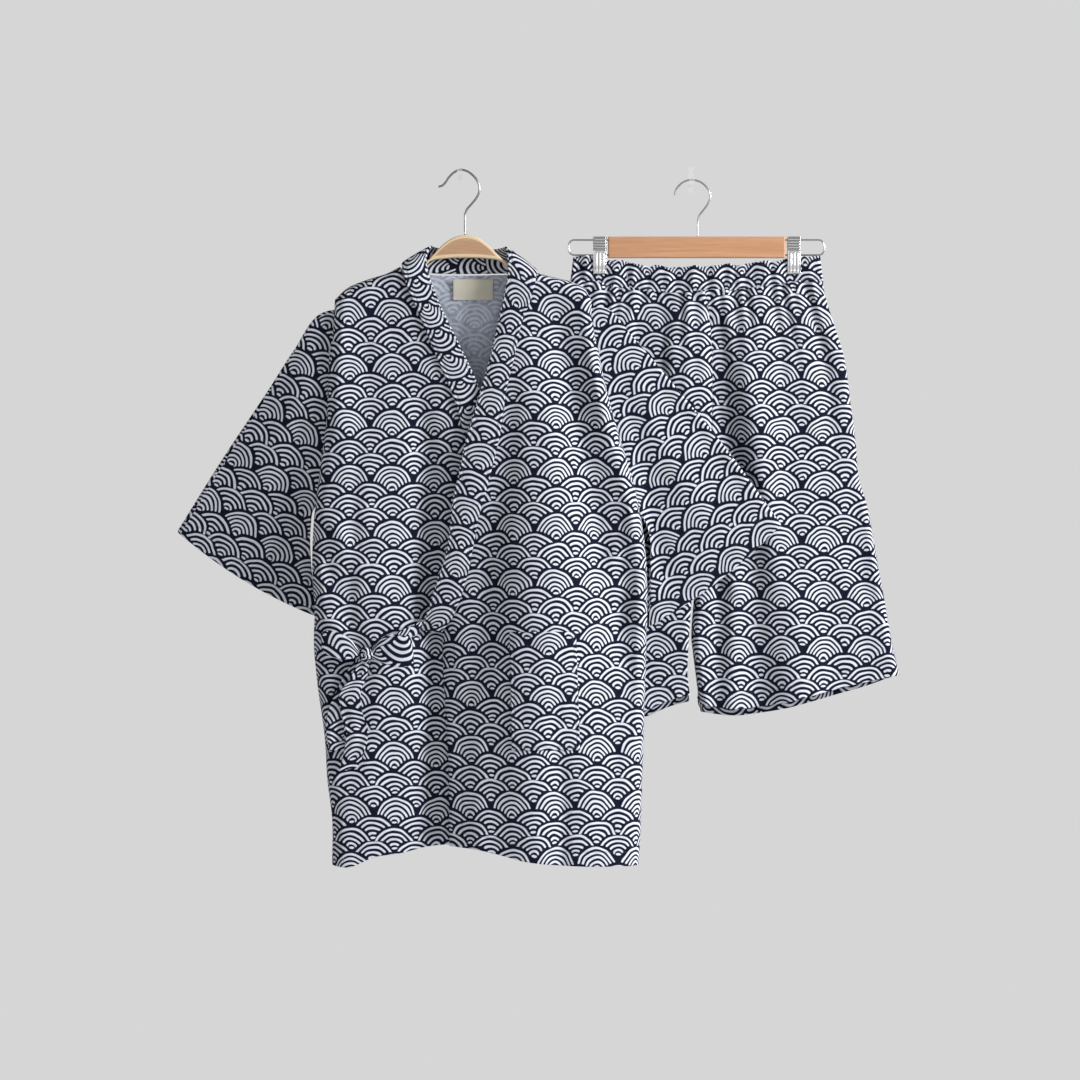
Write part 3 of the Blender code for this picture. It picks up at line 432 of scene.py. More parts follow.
def wave_print(finish):
    """1 on a white arc and 0 on the navy ground, at the piece's place on the flat cloth."""
    where = finish.map("print")[2]
    takes = {"Vector": where, "Scale": 42.0, "Detail": 1.0}
    wobble = finish.add("ShaderNodeTexNoise", {"noise_dimensions": "2D"}, takes)[1]
    shift = finish.add("ShaderNodeVectorMath", {"operation": "SUBTRACT"}, {0: wobble, 1: (0.5, 0.5, 0.5)})[0]
    shift = finish.add("ShaderNodeVectorMath", {"operation": "SCALE"}, {0: shift, "Scale": 0.0042})[0]
    moved = finish.add("ShaderNodeVectorMath", {"operation": "ADD"}, {0: where, 1: shift})[0]
    place = finish.add("ShaderNodeSeparateXYZ", {}, {0: moved})
    u = place[0] / PERIOD
    v = place[1] / ROW
    row = ((v + BEHIND) / 4.0).math("FLOOR") * 4.0
    into = v + BEHIND - row
    for start in FOUR:
        row = row + into.math("GREATER_THAN", start)
    front_q, front_arc, front_half, _ = fan(finish, u, v, row - 1.0)
    _, back_arc, back_half, back_dot = fan(finish, u, v, row)
    in_front = front_q.math("LESS_THAN", RIM)
    tip = (TIP - front_q).math("MAXIMUM", 0.0)
    back_reach = (back_arc * back_arc + tip * tip).math("SQRT")
    front_ink = (front_half - front_arc).between(-SOFT, SOFT)
    back_ink = (back_half - back_reach).between(-SOFT, SOFT)
    dots = back_dot.between(-SOFT, SOFT)
    return front_ink * in_front + back_ink.math("MAXIMUM", dots) * (1.0 - in_front)


print("fans", PERIOD * 1000, "mm wide, rows", ROW * 1000, "mm apart")

# %% [markdown]
# The cloth is a plain-woven cotton with a little slub. Up close it needs its weave, its stitches
# and the small dents between the large folds, and all of these are bump. The printed side is
# dense navy and bluish white. On the wrong side the dye shows through pale and grey, so the sheet's
# inner face gets a finish of its own, with the same fans in weaker colours.

# %% Cotton, its right side and its wrong side

STITCH = 0.0030   # length of a stitch and its gap
SEAM_LINE = 0.0170  # stitches run this far in from a hemmed edge
THREAD = 0.00085    # from one thread of the weave to the next but one


def cotton(name, ground, ink, rough=0.86):
    """Printed cotton: the wave print, a worn ink, weave, dents and a line of stitches at sewn edges."""
    finish = Finish(name, ink, rough, Specular_IOR_Level=0.12)
    white = wave_print(finish)
    where = finish.map("print")[2]
    flat = {"noise_dimensions": "2D"}
    blotch = finish.add("ShaderNodeTexNoise", flat, {"Vector": where, "Scale": 160.0, "Detail": 3.0})[0]
    worn = blotch.between(0.35, 0.75)
    inked = finish.colours(worn, tuple(0.955 * c for c in ink), ink)
    dyed = finish.colours(worn, ground, tuple(1.5 * c for c in ground))
    cloth = finish.colours(white, dyed, inked)
    along, away, _ = finish.map("sewing")
    weave_u = (finish.map("print")[0] * (2 * np.pi / THREAD)).math("SINE")
    weave_v = (finish.map("print")[1] * (2 * np.pi / THREAD)).math("SINE")
    weave = finish.bump(weave_u * weave_v * 0.5 + blotch, 0.00016, 0.7)
    takes = {"Vector": where, "Scale": 34.0, "Detail": 2.5, "Roughness": 0.45}
    dents = finish.add("ShaderNodeTexNoise", flat, takes)[0]
    surface_bump = finish.bump(dents, 0.0042, 0.55, weave)
    groove = (away - SEAM_LINE).math("ABSOLUTE")
    thread = groove.between(0.0007, 0.0003) * (along / STITCH).math("FRACT").between(0.62, 0.7, 1.0, 0.0)
    dip = groove.between(0.0022, 0.0)
    cloth = finish.colours(thread * 0.3, cloth, (0.10, 0.11, 0.17))
    surface_bump = finish.bump(thread * 0.6 - dip, 0.0007, 0.8, surface_bump)
    finish.feed("Base Color", cloth)
    finish.feed("Normal", surface_bump)
    return finish.material


RIGHT_SIDE = cotton("printed_side", NAVY, WHITE)
WRONG_SIDE = cotton("wrong_side", (0.37, 0.41, 0.50), (0.66, 0.70, 0.79), rough=0.92)
BOTH_SIDES = (RIGHT_SIDE, WRONG_SIDE)
print("cotton, two sides:", RIGHT_SIDE.name, WRONG_SIDE.name)

# %% [markdown]
# The jacket hangs from the hanger's arms, so its shape is that of a flat envelope: a front and a back
# that round over the shoulders and close at the sides. A rule of place gives the depth of every point
# from its x and z. It takes the flat depth, adds the folds, and lets it fall off round a quarter
# circle at the shoulder and at the side.

# %% The jacket's outlines, in millimetres
SHOULDER_RIGHT = [(-157.5, -161), (-145, -148.5), (-117.5, -136), (-92, -128), (-76, -119.5)]
SHOULDER_LEFT = [(95, -127.6), (120, -134), (145, -141), (156, -148), (163, -162)]
SIDE_RIGHT = [
    (-157.5, -161), (-159, -194), (-164, -229), (-167.5, -306), (-177.5, -384), (-184, -440), (-186, -486),
    (-183, -557), (-184, -586), (-180, -636), (-170, -711), (-167, -761), (-161, -811), (-161, -866),
]
SIDE_LEFT = [
    (163, -162), (164, -187), (174, -237), (183, -278), (196, -325), (210, -370), (221, -415), (229, -460),
    (232.5, -505), (231.5, -599), (229, -686), (226, -786), (222.5, -866),
]
NECK_RIGHT = [
    (-76, -119.5), (-66, -147), (-47, -188), (-25, -240), (-6, -285), (7, -329), (29, -392), (55, -467),
    (76, -551), (82, -640), (88, -740), (90, -861),
]
NECK_LEFT = [
    (95, -127.6), (83, -165), (72, -189), (62, -236), (53.5, -274), (47, -318), (41, -351), (29, -399),
    (20, -426), (8.5, -484), (2, -514), (-12, -551), (-22, -580), (-22.5, -600), (-21, -640), (-15, -740),
    (-14, -841),
]
NECK_BACK = [(-76, -121), (-60, -126.5), (-40, -129), (10, -130), (62, -129), (80, -129), (98, -130)]
HEM_RIGHT = [
    (-161, -866), (-141, -868), (-106, -855), (-77, -851), (-42, -843), (-12, -840), (40, -850),
    (90, -861),
]
HEM_LEFT = [(-14, -841), (25, -846), (59, -854), (78, -859), (99, -862), (157, -866), (222.5, -866)]
HEM_BACK = [(-161, -865), (-106, -853), (-42, -840), (10, -839), (59, -850), (99, -858), (222.5, -864)]
SHOULDER_ROUND, SIDE_ROUND = 12.0, 14.0
FRONT_NECK, BACK_NECK = -118, -96   # the panels fall off towards this height between the shoulders
FRONT_GAP, BACK_GAP = 4.4, 6.4      # how far each edge stands out beside the armhole
UNDERARM_RIGHT, UNDERARM_LEFT, UNDERARM_BLEND = -430.0, -445.0, 35.0
print("jacket, shoulder to hem:", SHOULDER_LEFT[0][1] - HEM_LEFT[-1][1], "mm")

# %% The jacket's folds, in millimetres
FRONT_FOLDS = [
    # from x, z, to x, z, bend, half width, height
    (106, -210, 88, -1160, 5, 76, 31),
    (66, -250, 8, -700, -4, 17, -7),
    (116, -150, 214, -660, 6, 20, -10),
    (158, -190, 236, -520, 4, 15, 5),
    (-136, -220, -134, -1160, 0, 62, 10),
    (-54, -250, -30, -700, -4, 20, -10),
    (-36, -480, -36, -1180, 0, 20, -11),
    (-128, -300, -140, -900, 5, 13, -4.5),
    (160, -640, 176, -1100, 0, 30, 7),
    (128, -700, 132, -1120, 3, 12, -5),
    (196, -380, 206, -760, -4, 12, -3.5),
    (152, -146, 176, -340, -4, 12, 3.5),
    (-146, -150, -152, -350, 3, 12, 3.5),
    (218, -440, 150, -590, 9, 12, 3.2),
    (224, -480, 180, -650, 6, 10, -2.6),
    (-178, -420, -118, -540, -9, 12, 3.0),
    (-182, -455, -146, -570, -5, 9, -2.2),
    (-126, -592, -184, -552, 3, 7, 2.6),
    (-124, -612, -178, -648, -3, 8, 2.2),
    (-72, -578, -22, -492, 4, 9, 2.4),
    (-112, -622, -124, -740, 3, 11, -2.6),
    (-100, -566, -88, -420, -5, 12, 2.4),
    (24, -600, 34, -1090, 6, 15, 3.0),
    (-140, -700, -136, -1090, 4, 13, 3.2),
    (204, -600, 194, -1090, -3, 13, 2.8),
    (128, -540, 120, -1000, 8, 12, -3.0),
    (60, -300, 52, -520, 5, 13, 2.0),
    (-118, -180, -110, -380, 4, 16, -2.4),
]
BACK_FOLDS = [
    # from x, z, to x, z, bend, half width, height
    (-70, -260, -92, -1120, 5, 44, 7),
    (60, -230, 74, -1120, -5, 50, 8),
    (150, -380, 168, -1100, 3, 26, 4),
    (-150, -420, -128, -1090, 4, 20, 4),
    (0, -330, -8, -1100, 5, 22, -4.5),
    (118, -430, 124, -1080, -4, 15, -3.5),
    (-178, -420, -96, -560, -9, 14, 3.4),
    (222, -450, 140, -600, 9, 14, 3.4),
    (-146, -150, -154, -360, 3, 12, 3.4),
    (152, -146, 178, -350, -4, 12, 3.4),
    (-30, -150, -60, -330, 6, 15, 2.4),
    (50, -150, 86, -360, -6, 16, 2.4),
]


def side_at(rows, z):
    """The x of a side line at each height, on its smooth line."""
    fine = line_through(rows, 240)[::-1]
    return np.interp(z, fine[:, 1], fine[:, 0])


def opening_at(x, z):
    """1 beside the armhole and 0 below the underarm, where the side is sewn shut."""
    underarm = np.where(x < 30, UNDERARM_RIGHT, UNDERARM_LEFT)
    return smooth_step(z, underarm - UNDERARM_BLEND, underarm)


def body_depth(x, z, full, face, neck, gap):
    """The full depth, let down round a quarter circle at the side and at the shoulder.

    Beside the armhole the edge stays `gap` out, to meet the sleeve, with a thin ridge where it is sewn.
    """
    inset = np.minimum(x - side_at(SIDE_RIGHT, z), side_at(SIDE_LEFT, z) - x)
    opening = opening_at(x, z)
    edge = face * (0.2 + gap * opening)
    depth = edge + (full - edge) * rounded(inset + 0.03, SIDE_ROUND)
    depth = depth + face * 1.5 * opening * np.exp(-(((inset - 3.0) / 1.7) ** 2))
    right, left = np.array(SHOULDER_RIGHT), np.array(SHOULDER_LEFT)
    line_x = np.concatenate([right[:, 0], [-60, 84], left[:, 0]])
    line_z = np.concatenate([right[:, 1], [neck, neck], left[:, 1]])
    below = np.interp(x, line_x, line_z) - z
    return depth * rounded(below + 0.03, SHOULDER_ROUND) + face * 0.15


def front_depth(x, z, forward):
    """The front's depth by its folds and unevenness, this far forward of the other front."""
    full = -12.0 - forward - creases(x, z, FRONT_FOLDS) - 3.0 * smooth_step(-z, 300, 800)
    full = full - 0.85 * uneven(x, z, 78, 3) - 0.35 * uneven(x, z, 34, 4)
    return body_depth(x, z, full, -1, FRONT_NECK, FRONT_GAP)


def over_depth(x, z):
    """The wearer's left front, which lies 7 mm in front of the other from the chest down."""
    return front_depth(x, z, 7.0 * smooth_step(-z, 190, 330))


def under_depth(x, z):
    """The wearer's right front, which lies flat where the other covers it."""
    covered = smooth_step(x, -40, 0) * smooth_step(-z, 240, 330)
    folds = front_depth(x, z, 0.0)
    return folds + (-13.0 - folds) * covered


def back_depth(x, z):
    """The back's depth, with a small step under the collar."""
    full = 12.0 + creases(x, z, BACK_FOLDS) + 0.8 * uneven(x, z, 80, 7) + 0.3 * uneven(x, z, 36, 8)
    full = full + 3.2 * smooth_step(z, -150, -131) * smooth_step(72 - abs(x - 10), 0, 12)
    return body_depth(x, z, full, 1, BACK_NECK, BACK_GAP)


print("folds by hand:", len(FRONT_FOLDS), "in front,", len(BACK_FOLDS), "behind")

# %% [markdown]
# Three panels make the body. Each is the patch between its edge lines with its depth added, and its
# last rows turn up inside as a hem. Its rows crowd towards the shoulder and its columns towards the
# side, because that is where it curves.

# %% Body panels
AT_SHOULDER = [0, 0.002, 0.004, 0.007, 0.011, 0.016, 0.023, 0.032, 0.043]
BODY_ROWS = np.concatenate([AT_SHOULDER, np.linspace(0.055, 1, 172)])
TO_SIDE = 1 - (1 - np.linspace(0, 1, 88)) ** 1.6
BELOW_THE_TIE = -590  # the front edge is free below this height


def body_panel(name, shoulder, hem, left, right, columns, depth, face, middle, shift, free_edge=False):
    """A body panel with its hem. A free edge is stitched too, down the panel's side of lower x."""
    flat = patch_between(
        line_through(shoulder, columns), line_through(hem, columns),
        line_through(left, BODY_ROWS), line_through(right, BODY_ROWS), columns, BODY_ROWS,
    )
    x, z = flat[..., 0], flat[..., 1]
    grid = stacked(x, depth(x, z), z)
    cut = laid_flat(grid, 60, middle, shift)
    grid, cut, tall = hemmed(grid, cut, normals_of(grid) * -face)
    along = cut[..., 0]
    if free_edge:
        away = cut[..., 0] - cut[:, :1, 0]
        nearer = (away < tall) & (cut[..., 1] < BELOW_THE_TIE)
        along = np.where(nearer, cut[..., 1], along)
        tall = np.where(nearer, away, tall)
    maps = {"print": cut, "sewing": stacked(along, tall)}
    return surface(name, grid, BOTH_SIDES, maps, flip=face > 0)


BACK_COLUMNS = crowded(112, 0.5)
back = body_panel(
    "back_panel", SHOULDER_RIGHT[:-1] + NECK_BACK + SHOULDER_LEFT[1:], HEM_BACK, SIDE_RIGHT, SIDE_LEFT,
    BACK_COLUMNS, back_depth, 1, 56, (11.0, 6.0),
)
under = body_panel(
    "right_front_panel", SHOULDER_RIGHT, HEM_RIGHT, SIDE_RIGHT, NECK_RIGHT,
    1 - TO_SIDE[::-1], under_depth, -1, 60, (4.0, 2.0),
)
over = body_panel(
    "left_front_panel", SHOULDER_LEFT, HEM_LEFT, NECK_LEFT, SIDE_LEFT,
    TO_SIDE, over_depth, -1, 20, (17.0, -6.0), free_edge=True,
)
stand_for(back, "printed_cotton", "jacket_back")
stand_for(under, "printed_cotton", "jacket_front_under")
stand_for(over, "printed_cotton", "jacket_front_over")

# %% [markdown]
# The collar is one long band, folded double. It starts hidden under the other front, climbs round
# the neck and comes down on top to the tie. Its section is flat with two round edges, and one
# helper carries such a section between any two edge lines: a sleeve, a tie and a label are the same
# thing with other sizes.

# %% A flat tube between two edge lines


def flat_tube(first, second, half, faces=18, turns=6, crown=0.0):
    """Sections carried along two edge lines: a face, a half circle, the other face, a half circle.

    At each row the face is first + (second - first) * s, moved out by `half` along the cross product
    of the way along and the way across. `crown` swells both faces by a half sine.
    """
    across = unit(second - first)
    out = unit(np.cross(np.gradient(first + second, axis=0), across))
    half = np.broadcast_to(np.asarray(half, float).reshape(-1, 1), first[:, :1].shape)
    s = np.linspace(0, 1, faces)[None, :, None]
    start, end = first + across * half, second - across * half
    swell = half[:, None] + crown * np.sin(np.pi * s) * (half / half.max())[:, None]
    middle = start[:, None] + (end - start)[:, None] * s
    turn = np.linspace(0, np.pi, turns + 2)[1:-1][None, :, None]
    circle = half[:, None] * (out[:, None] * np.cos(turn) + across[:, None] * np.sin(turn))
    round_end, round_start = end[:, None] + circle, start[:, None] - circle
    near = middle + out[:, None] * swell
    far = (middle - out[:, None] * swell)[:, ::-1]
    return np.concatenate([near, round_end, far, round_start], axis=1)


def around(grid, v, shift=(0.0, 0.0)):
    """Flat-cloth places of a ring grid: u is the length round it, and one more column closes it."""
    u = added_up(steps_of(closed_up(grid), axis=1).mean(axis=0))
    return stacked(u[None, :] + shift[0], v[:, None] + shift[1])


def closed_volume(grid):
    """Six times the signed volume inside a ring grid, to tell which way its faces look."""
    ring = closed_up(grid) - grid.mean(axis=(0, 1))
    a, b, c, d = ring[:-1, :-1], ring[1:, :-1], ring[1:, 1:], ring[:-1, 1:]
    return (np.cross(a, b) * c).sum() + (np.cross(a, c) * d).sum()


def tube(name, grid, materials, maps, sheet=0.0):
    """A ring grid as a mesh whose faces look outwards."""
    return surface(name, grid, materials, maps, closed=True, flip=closed_volume(grid) < 0, sheet=sheet)


def away_from_all(maps, far=90.0):
    """Both maps of a piece with no stitched edge: its "sewing" map stays far from one."""
    return {"print": maps, "sewing": np.full_like(maps, far)}


def capped(shares, length, reach):
    """Shares along a band with more near both ends, and how full its section is there: a quarter circle."""
    near = np.array([0.0, 0.03, 0.12, 0.28, 0.5, 0.75]) * reach / length
    between = shares[(shares > reach / length) & (shares < 1 - reach / length)]
    shares = np.concatenate([near, between, 1 - near[::-1]])
    from_end = np.minimum(shares, 1 - shares) * length
    return shares, np.maximum(rounded(from_end, reach), 0.02)


print("flat tube helper ready")

# %% The collar, in millimetres
COLLAR = [
    # inner x, z, y, outer x, z, y
    (109, -537, -15, 76, -549, -15), (86, -449, -15, 52, -464, -15), (61, -374, -15, 27, -391, -15),
    (39, -311, -15, 4, -328, -15), (22, -268, -15.5, -9, -284, -16), (5, -231, -15.5, -28, -239, -16),
    (-22, -176, -14.5, -49, -187, -16), (-37, -139, -12, -66.5, -147, -15.5),
    (-43, -112, -8, -72, -127, -14.5), (-38, -95, 0, -73, -115.5, 0), (-32, -95, 9.5, -60, -124, 10.5),
    (-14, -98, 14, -30, -127.5, 15.5), (10, -99, 15, 10, -128, 16), (34, -98, 14, 52, -127.5, 15.5),
    (50, -96, 9.5, 82, -126.5, 10.5), (56, -96, 0, 94, -124, 0), (58, -112, -9, 94, -133, -12),
    (57, -138, -13, 88, -160, -17), (47, -185, -17, 76, -190, -20), (37, -229, -20, 66, -237, -23),
    (26, -269, -22, 57, -275, -25), (15, -306, -24, 51, -318, -27), (5, -340, -24, 44, -352, -28),
    (-4, -384, -23.5, 32, -400, -27), (-10, -411, -23, 24, -427, -25.5),
    (-17, -470, -22.5, 13, -484, -24.5), (-27, -503, -22, 6, -515, -24), (-41, -548, -22, -8, -553, -24),
    (-52, -573, -22, -24, -577, -24),
]
COLLAR_HALF = 1.5
shares, fullness = capped(np.linspace(0, 1, 300), 1120.0, 2.0)
edges = line_through(COLLAR, shares, by_row=True)
row_number = shares * (len(COLLAR) - 1)
on_over = smooth_step(row_number, 17.0, 19.0)
on_under = 1 - smooth_step(row_number, 4.5, 6.5)
seat_over = over_depth(edges[:, 3] + 2, edges[:, 4]) - COLLAR_HALF - 0.7
seat_under = under_depth(edges[:, 3] - 2, edges[:, 4]) - COLLAR_HALF - 0.7
outer_y = edges[:, 5] + (seat_over - edges[:, 5]) * on_over
outer_y = outer_y + (np.minimum(seat_under, -15.5) - outer_y) * on_under * smooth_step(row_number, 3.0, 4.5)
inner_y = edges[:, 2] + (outer_y - edges[:, 5]) * 0.8
inner_edge = stacked(edges[:, 0], inner_y, edges[:, 1])
outer_edge = stacked(edges[:, 3], outer_y, edges[:, 4])
band = flat_tube(inner_edge, outer_edge, COLLAR_HALF * fullness, faces=20, crown=0.9)
run = added_up(steps_of(inner_edge + outer_edge) / 2)
ripple = 0.45 * uneven(run[:, None], np.arange(band.shape[1])[None, :] * 1.5, 46, 12)
band[:, 2:18, 1] += (ripple * fullness[:, None])[:, 2:18]
cut = around(band, -run, (8.0, 3.0))
column = np.arange(band.shape[1] + 1.0)
away = np.minimum(column, np.abs(column - 19)) * 1.9
sewing = stacked(-run[:, None], away[None, :] + 13.4)
collar = tube("collar_band", band, (RIGHT_SIDE,), {"print": cut, "sewing": sewing})
stand_for(collar, "printed_cotton", "jacket_collar")
wide = np.linalg.norm(outer_edge - inner_edge, axis=-1).mean()
print("collar:", round(run[-1]), "mm long,", round(wide, 1), "mm wide")

# %% [markdown]
# A kimono sleeve is a plain tube sewn to the straight side of the body. Off the shoulder it hangs
# as two flat layers with a fold above and a fold below, and the layers part a little at the cuff.
# The cloth's grain runs down the sleeve, so the fans climb towards the shoulder.

# %% Sleeves, in millimetres
SLEEVE_RIGHT_TOP = [
    # x, z, y
    (-150, -172, 0), (-172, -176.5, 1), (-209, -224, 7), (-242, -274, 14), (-301, -361, 28),
    (-357, -449, 43),
]
SLEEVE_RIGHT_LOW = [
    (-168, -406, 0), (-186, -426, 3), (-189, -447, 10), (-189, -480, 16), (-186, -515, 21),
    (-181, -556, 25),
]
SLEEVE_LEFT_TOP = [
    (154, -174, 0), (176, -170, 0), (215, -208, 1), (262, -262, 2), (331, -346, 3), (400, -441, 4),
]
SLEEVE_LEFT_LOW = [
    (214, -422, 0), (230, -441, 3), (236, -462, 6), (236, -492, 9), (234, -528, 11), (230, -571, 12),
]
SLEEVE_RIGHT_FOLDS = [
    # from x, z, to x, z, bend, half width, height
    (-176, -200, -300, -480, -10, 20, 3.2), (-168, -300, -224, -560, -8, 20, -5.0),
    (-200, -215, -330, -430, 6, 13, -2.0), (-186, -420, -270, -500, 8, 12, 2.6),
]
SLEEVE_LEFT_FOLDS = [
    (186, -196, 330, -470, 12, 20, 3.2), (200, -300, 270, -540, 8, 16, -2.8),
    (214, -360, 250, -560, 5, 12, 2.4), (230, -250, 372, -440, -8, 14, -2.0),
]
CUFF_HEM = 18.0


def sleeve_cut(grid, up, shift):
    """The closed ring laid flat: v runs along `up`, and u adds up the steps across it, all round."""
    ring = closed_up(grid[..., [0, 2]])
    across = ring @ np.array([up[1], -up[0]])
    front = np.sign(across[:, 10] - across[:, 0]).mean()
    run = np.cumsum(np.abs(np.diff(across, axis=1)), axis=1)
    u = across[:, :1] + front * np.concatenate([np.zeros((len(ring), 1)), run], axis=1)
    return stacked(u + shift[0], ring @ np.array(up) + shift[1])


def sleeve(name, top_rows, low_rows, folds, up, node, shift):
    """The two-fold tube, its folds on both layers, and the cuff turned up inside as a hem."""
    shares = np.linspace(0, 1, 96)
    top = line_through(top_rows, shares)[:, [0, 2, 1]]
    low = line_through(low_rows, shares)[:, [0, 2, 1]]
    half = 3.8 + 2.2 * shares
    grid = flat_tube(top, low, half, faces=46, turns=10, crown=0.8)
    share = np.linalg.norm(grid - top[:, None], axis=-1) / np.linalg.norm(low - top, axis=-1)[:, None]
    bow = np.clip(4 * share * (1 - share), 0, 1) * 9.0 * (shares**2)[:, None]
    grid = grid + unit(np.gradient(top + low, axis=0))[:, None] * bow[..., None]
    centre = grid.mean(axis=1, keepdims=True)
    middle_y = top[:, None, 1] * (1 - share) + low[:, None, 1] * share
    side = np.clip((grid[..., 1] - middle_y) / half[:, None], -1, 1)
    out_of_armhole = smooth_step(shares, 0.04, 0.3)[:, None]
    puff = creases(grid[..., 0], grid[..., 2], folds) + 0.7 * uneven(grid[..., 0], grid[..., 2], 64, 21)
    grid[..., 1] += puff * side * (0.35 + 0.65 * (side < 0)) * out_of_armhole
    cut = sleeve_cut(grid, up, shift)
    normal = normals_of(grid, closed=True)
    normal = normal * np.sign((normal * (grid - centre)).sum(axis=-1).mean())
    body_rows = len(grid)
    flip = closed_volume(grid) < 0
    _, hemmed_cut = with_hem(closed_up(grid), cut, closed_up(normal), tall=CUFF_HEM)
    grid, _ = with_hem(grid, cut[:, :-1], normal, tall=CUFF_HEM)
    to_cuff = np.cumsum(steps_of(grid[:body_rows]).mean(axis=1)[::-1])[::-1]
    from_edge = np.concatenate([to_cuff, [0.0], np.linspace(0, CUFF_HEM, len(grid) - body_rows)])
    maps = {"print": hemmed_cut, "sewing": stacked(hemmed_cut[..., 0], from_edge[:, None])}
    return stand_for(surface(name, grid, BOTH_SIDES, maps, closed=True, flip=flip), "printed_cotton", node)


sleeve_right = sleeve(
    "right_sleeve", SLEEVE_RIGHT_TOP, SLEEVE_RIGHT_LOW, SLEEVE_RIGHT_FOLDS,
    (0.574, 0.819), "sleeve_right", (0.0, 0.0),
)
sleeve_left = sleeve(
    "left_sleeve", SLEEVE_LEFT_LOW, SLEEVE_LEFT_TOP, SLEEVE_LEFT_FOLDS,
    (-0.616, 0.788), "sleeve_left", (6.0, 3.0),
)

# %% [markdown]
# The patch pocket is a rectangle laid on the left front, so it is made from that front's own depth
# rule, moved out by its thickness. Three of its edges are turned under and lie tight. The fourth,
# at the top, stands off a little as its hem.

# %% Pocket and neck label
POCKET = [(61, -575), (143.5, -575), (148.5, -722), (63.5, -722)]  # corners, clockwise from the top left


def pocket():
    """The patch between its corners, lifted off the front by its thickness and a little at its hem."""
    s = dense_at_ends(44)[None, :, None]
    t = dense_at_ends(64)[:, None, None]
    a, b, c, d = (np.array(corner, float) for corner in POCKET)
    plan = (a * (1 - s) + b * s) * (1 - t) + (d * (1 - s) + c * s) * t
    x, z = plan[..., 0], plan[..., 1]
    wide, tall = 84.0, 147.0
    inset = np.minimum(np.minimum(s[..., 0], 1 - s[..., 0]) * wide, (1 - t[..., 0]) * tall)
    lip = smooth_step(1 - t[..., 0], 0.86, 1.0) * np.sin(np.pi * s[..., 0]) * 2.2
    lift = 1.25 + 0.9 * rounded(inset, 2.2) + lip + 0.35 * uneven(x, z, 40, 31)
    grid = stacked(x, over_depth(x, z) - lift, z)
    flat = laid_flat(grid, 0, 20, (26.0, -1.0))
    away = np.where(t[..., 0] * tall < inset, t[..., 0] * tall, inset + 13.0)
    along = np.where(t[..., 0] * tall < inset, flat[..., 0], flat[..., 1])
    maps = {"print": flat, "sewing": stacked(along, away)}
    return surface("pocket_patch", grid, BOTH_SIDES, maps)


pocket_piece = stand_for(pocket(), "printed_cotton", "patch_pocket")

label_finish = Finish("label_twill", (0.80, 0.76, 0.66), 0.75, Sheen_Weight=0.1)
place = label_finish.add("ShaderNodeTexCoord", {}, {})[3]
takes = {"Vector": place, "Scale": 1400.0, "Distortion": 0.6}
twill = label_finish.add("ShaderNodeTexWave", {"bands_direction": "DIAGONAL"}, takes)[1]
label_finish.feed("Base Color", label_finish.colours(twill, (0.80, 0.76, 0.65), (0.70, 0.66, 0.55)))
label_finish.feed("Normal", label_finish.bump(twill, 0.0002, 0.6))
shares, fullness = capped(np.linspace(0, 1, 30), 26.0, 0.6)
left_edge = stacked(-10, 9.4 - 0.4 * np.sin(np.pi * shares), -135 - 26 * shares)
right_edge = left_edge + np.array([50.0, 0.0, 0.0])
label_grid = flat_tube(left_edge, right_edge, 0.4 * fullness, faces=24, turns=4)
label = tube("neck_tape", label_grid, (label_finish.material,), {"print": around(label_grid, -26.0 * shares)})
stand_for(label, "label_cloth", "neck_label")

# %% [markdown]
# The ties end in a bow. Each strip is a narrow flat tube between two edge lines, so a table of both
# edges says where it widens, folds over and thins into the knot. A loop runs out in front, turns
# round at its far end and comes back behind itself.

# %% Bow, in millimetres: each row holds x, z, y of one edge and of the other
TIE_STRAP = [
    (-48, -562, -26, -52, -578, -26), (-62, -568, -29, -67, -585, -28.5),
    (-76, -575, -30.5, -83, -592, -30), (-90, -584, -32, -98, -600, -31.5),
    (-104, -594, -34, -108, -605, -33),
]
LOOP_RIGHT = [
    (-110, -598, -41, -110, -608, -41), (-99, -587, -44, -98, -613, -44),
    (-84, -581, -46, -80, -619, -45.5), (-69, -580, -45.5, -65, -618, -45),
    (-61.5, -583, -43, -58.5, -613, -42.5), (-66, -582, -40.2, -64, -612, -40.2),
    (-82, -578, -38.6, -82, -609, -38.8), (-98, -582, -37.8, -98, -606, -38.2),
    (-110, -595, -37.2, -110, -605, -37.2),
]
LOOP_LEFT = [
    (-125, -598, -41, -125, -607, -41), (-138, -583, -44, -138, -609, -44),
    (-153, -575, -45.6, -152, -608, -45), (-166, -573, -44.8, -164, -604, -44),
    (-173, -577, -42, -171.5, -598, -42), (-167, -576, -39.4, -165, -602, -39.2),
    (-152, -578, -38, -152, -607, -38.2), (-138, -585, -37.6, -138, -609, -37.8),
    (-126, -596, -37, -126, -606, -37),
]
TAIL_LONG = [
    (-112, -612, -36.5, -126, -610, -37.5), (-116, -630, -37, -137, -632, -36.5),
    (-124, -652, -35, -150, -652, -36), (-122, -676, -35.5, -149, -676, -33.5),
    (-115, -698, -32.5, -142, -700, -34.5), (-119, -722, -33, -145, -724, -31.5),
    (-128, -744, -31, -151, -749, -32),
]
TAIL_SHORT = [
    (-119, -613, -33, -130, -608, -33), (-128, -640, -32, -149, -638, -31.5),
    (-141, -671, -31, -164, -672, -30), (-145, -700, -28.5, -167, -700, -29.5),
    (-143, -722, -28, -163, -724, -27.5),
]


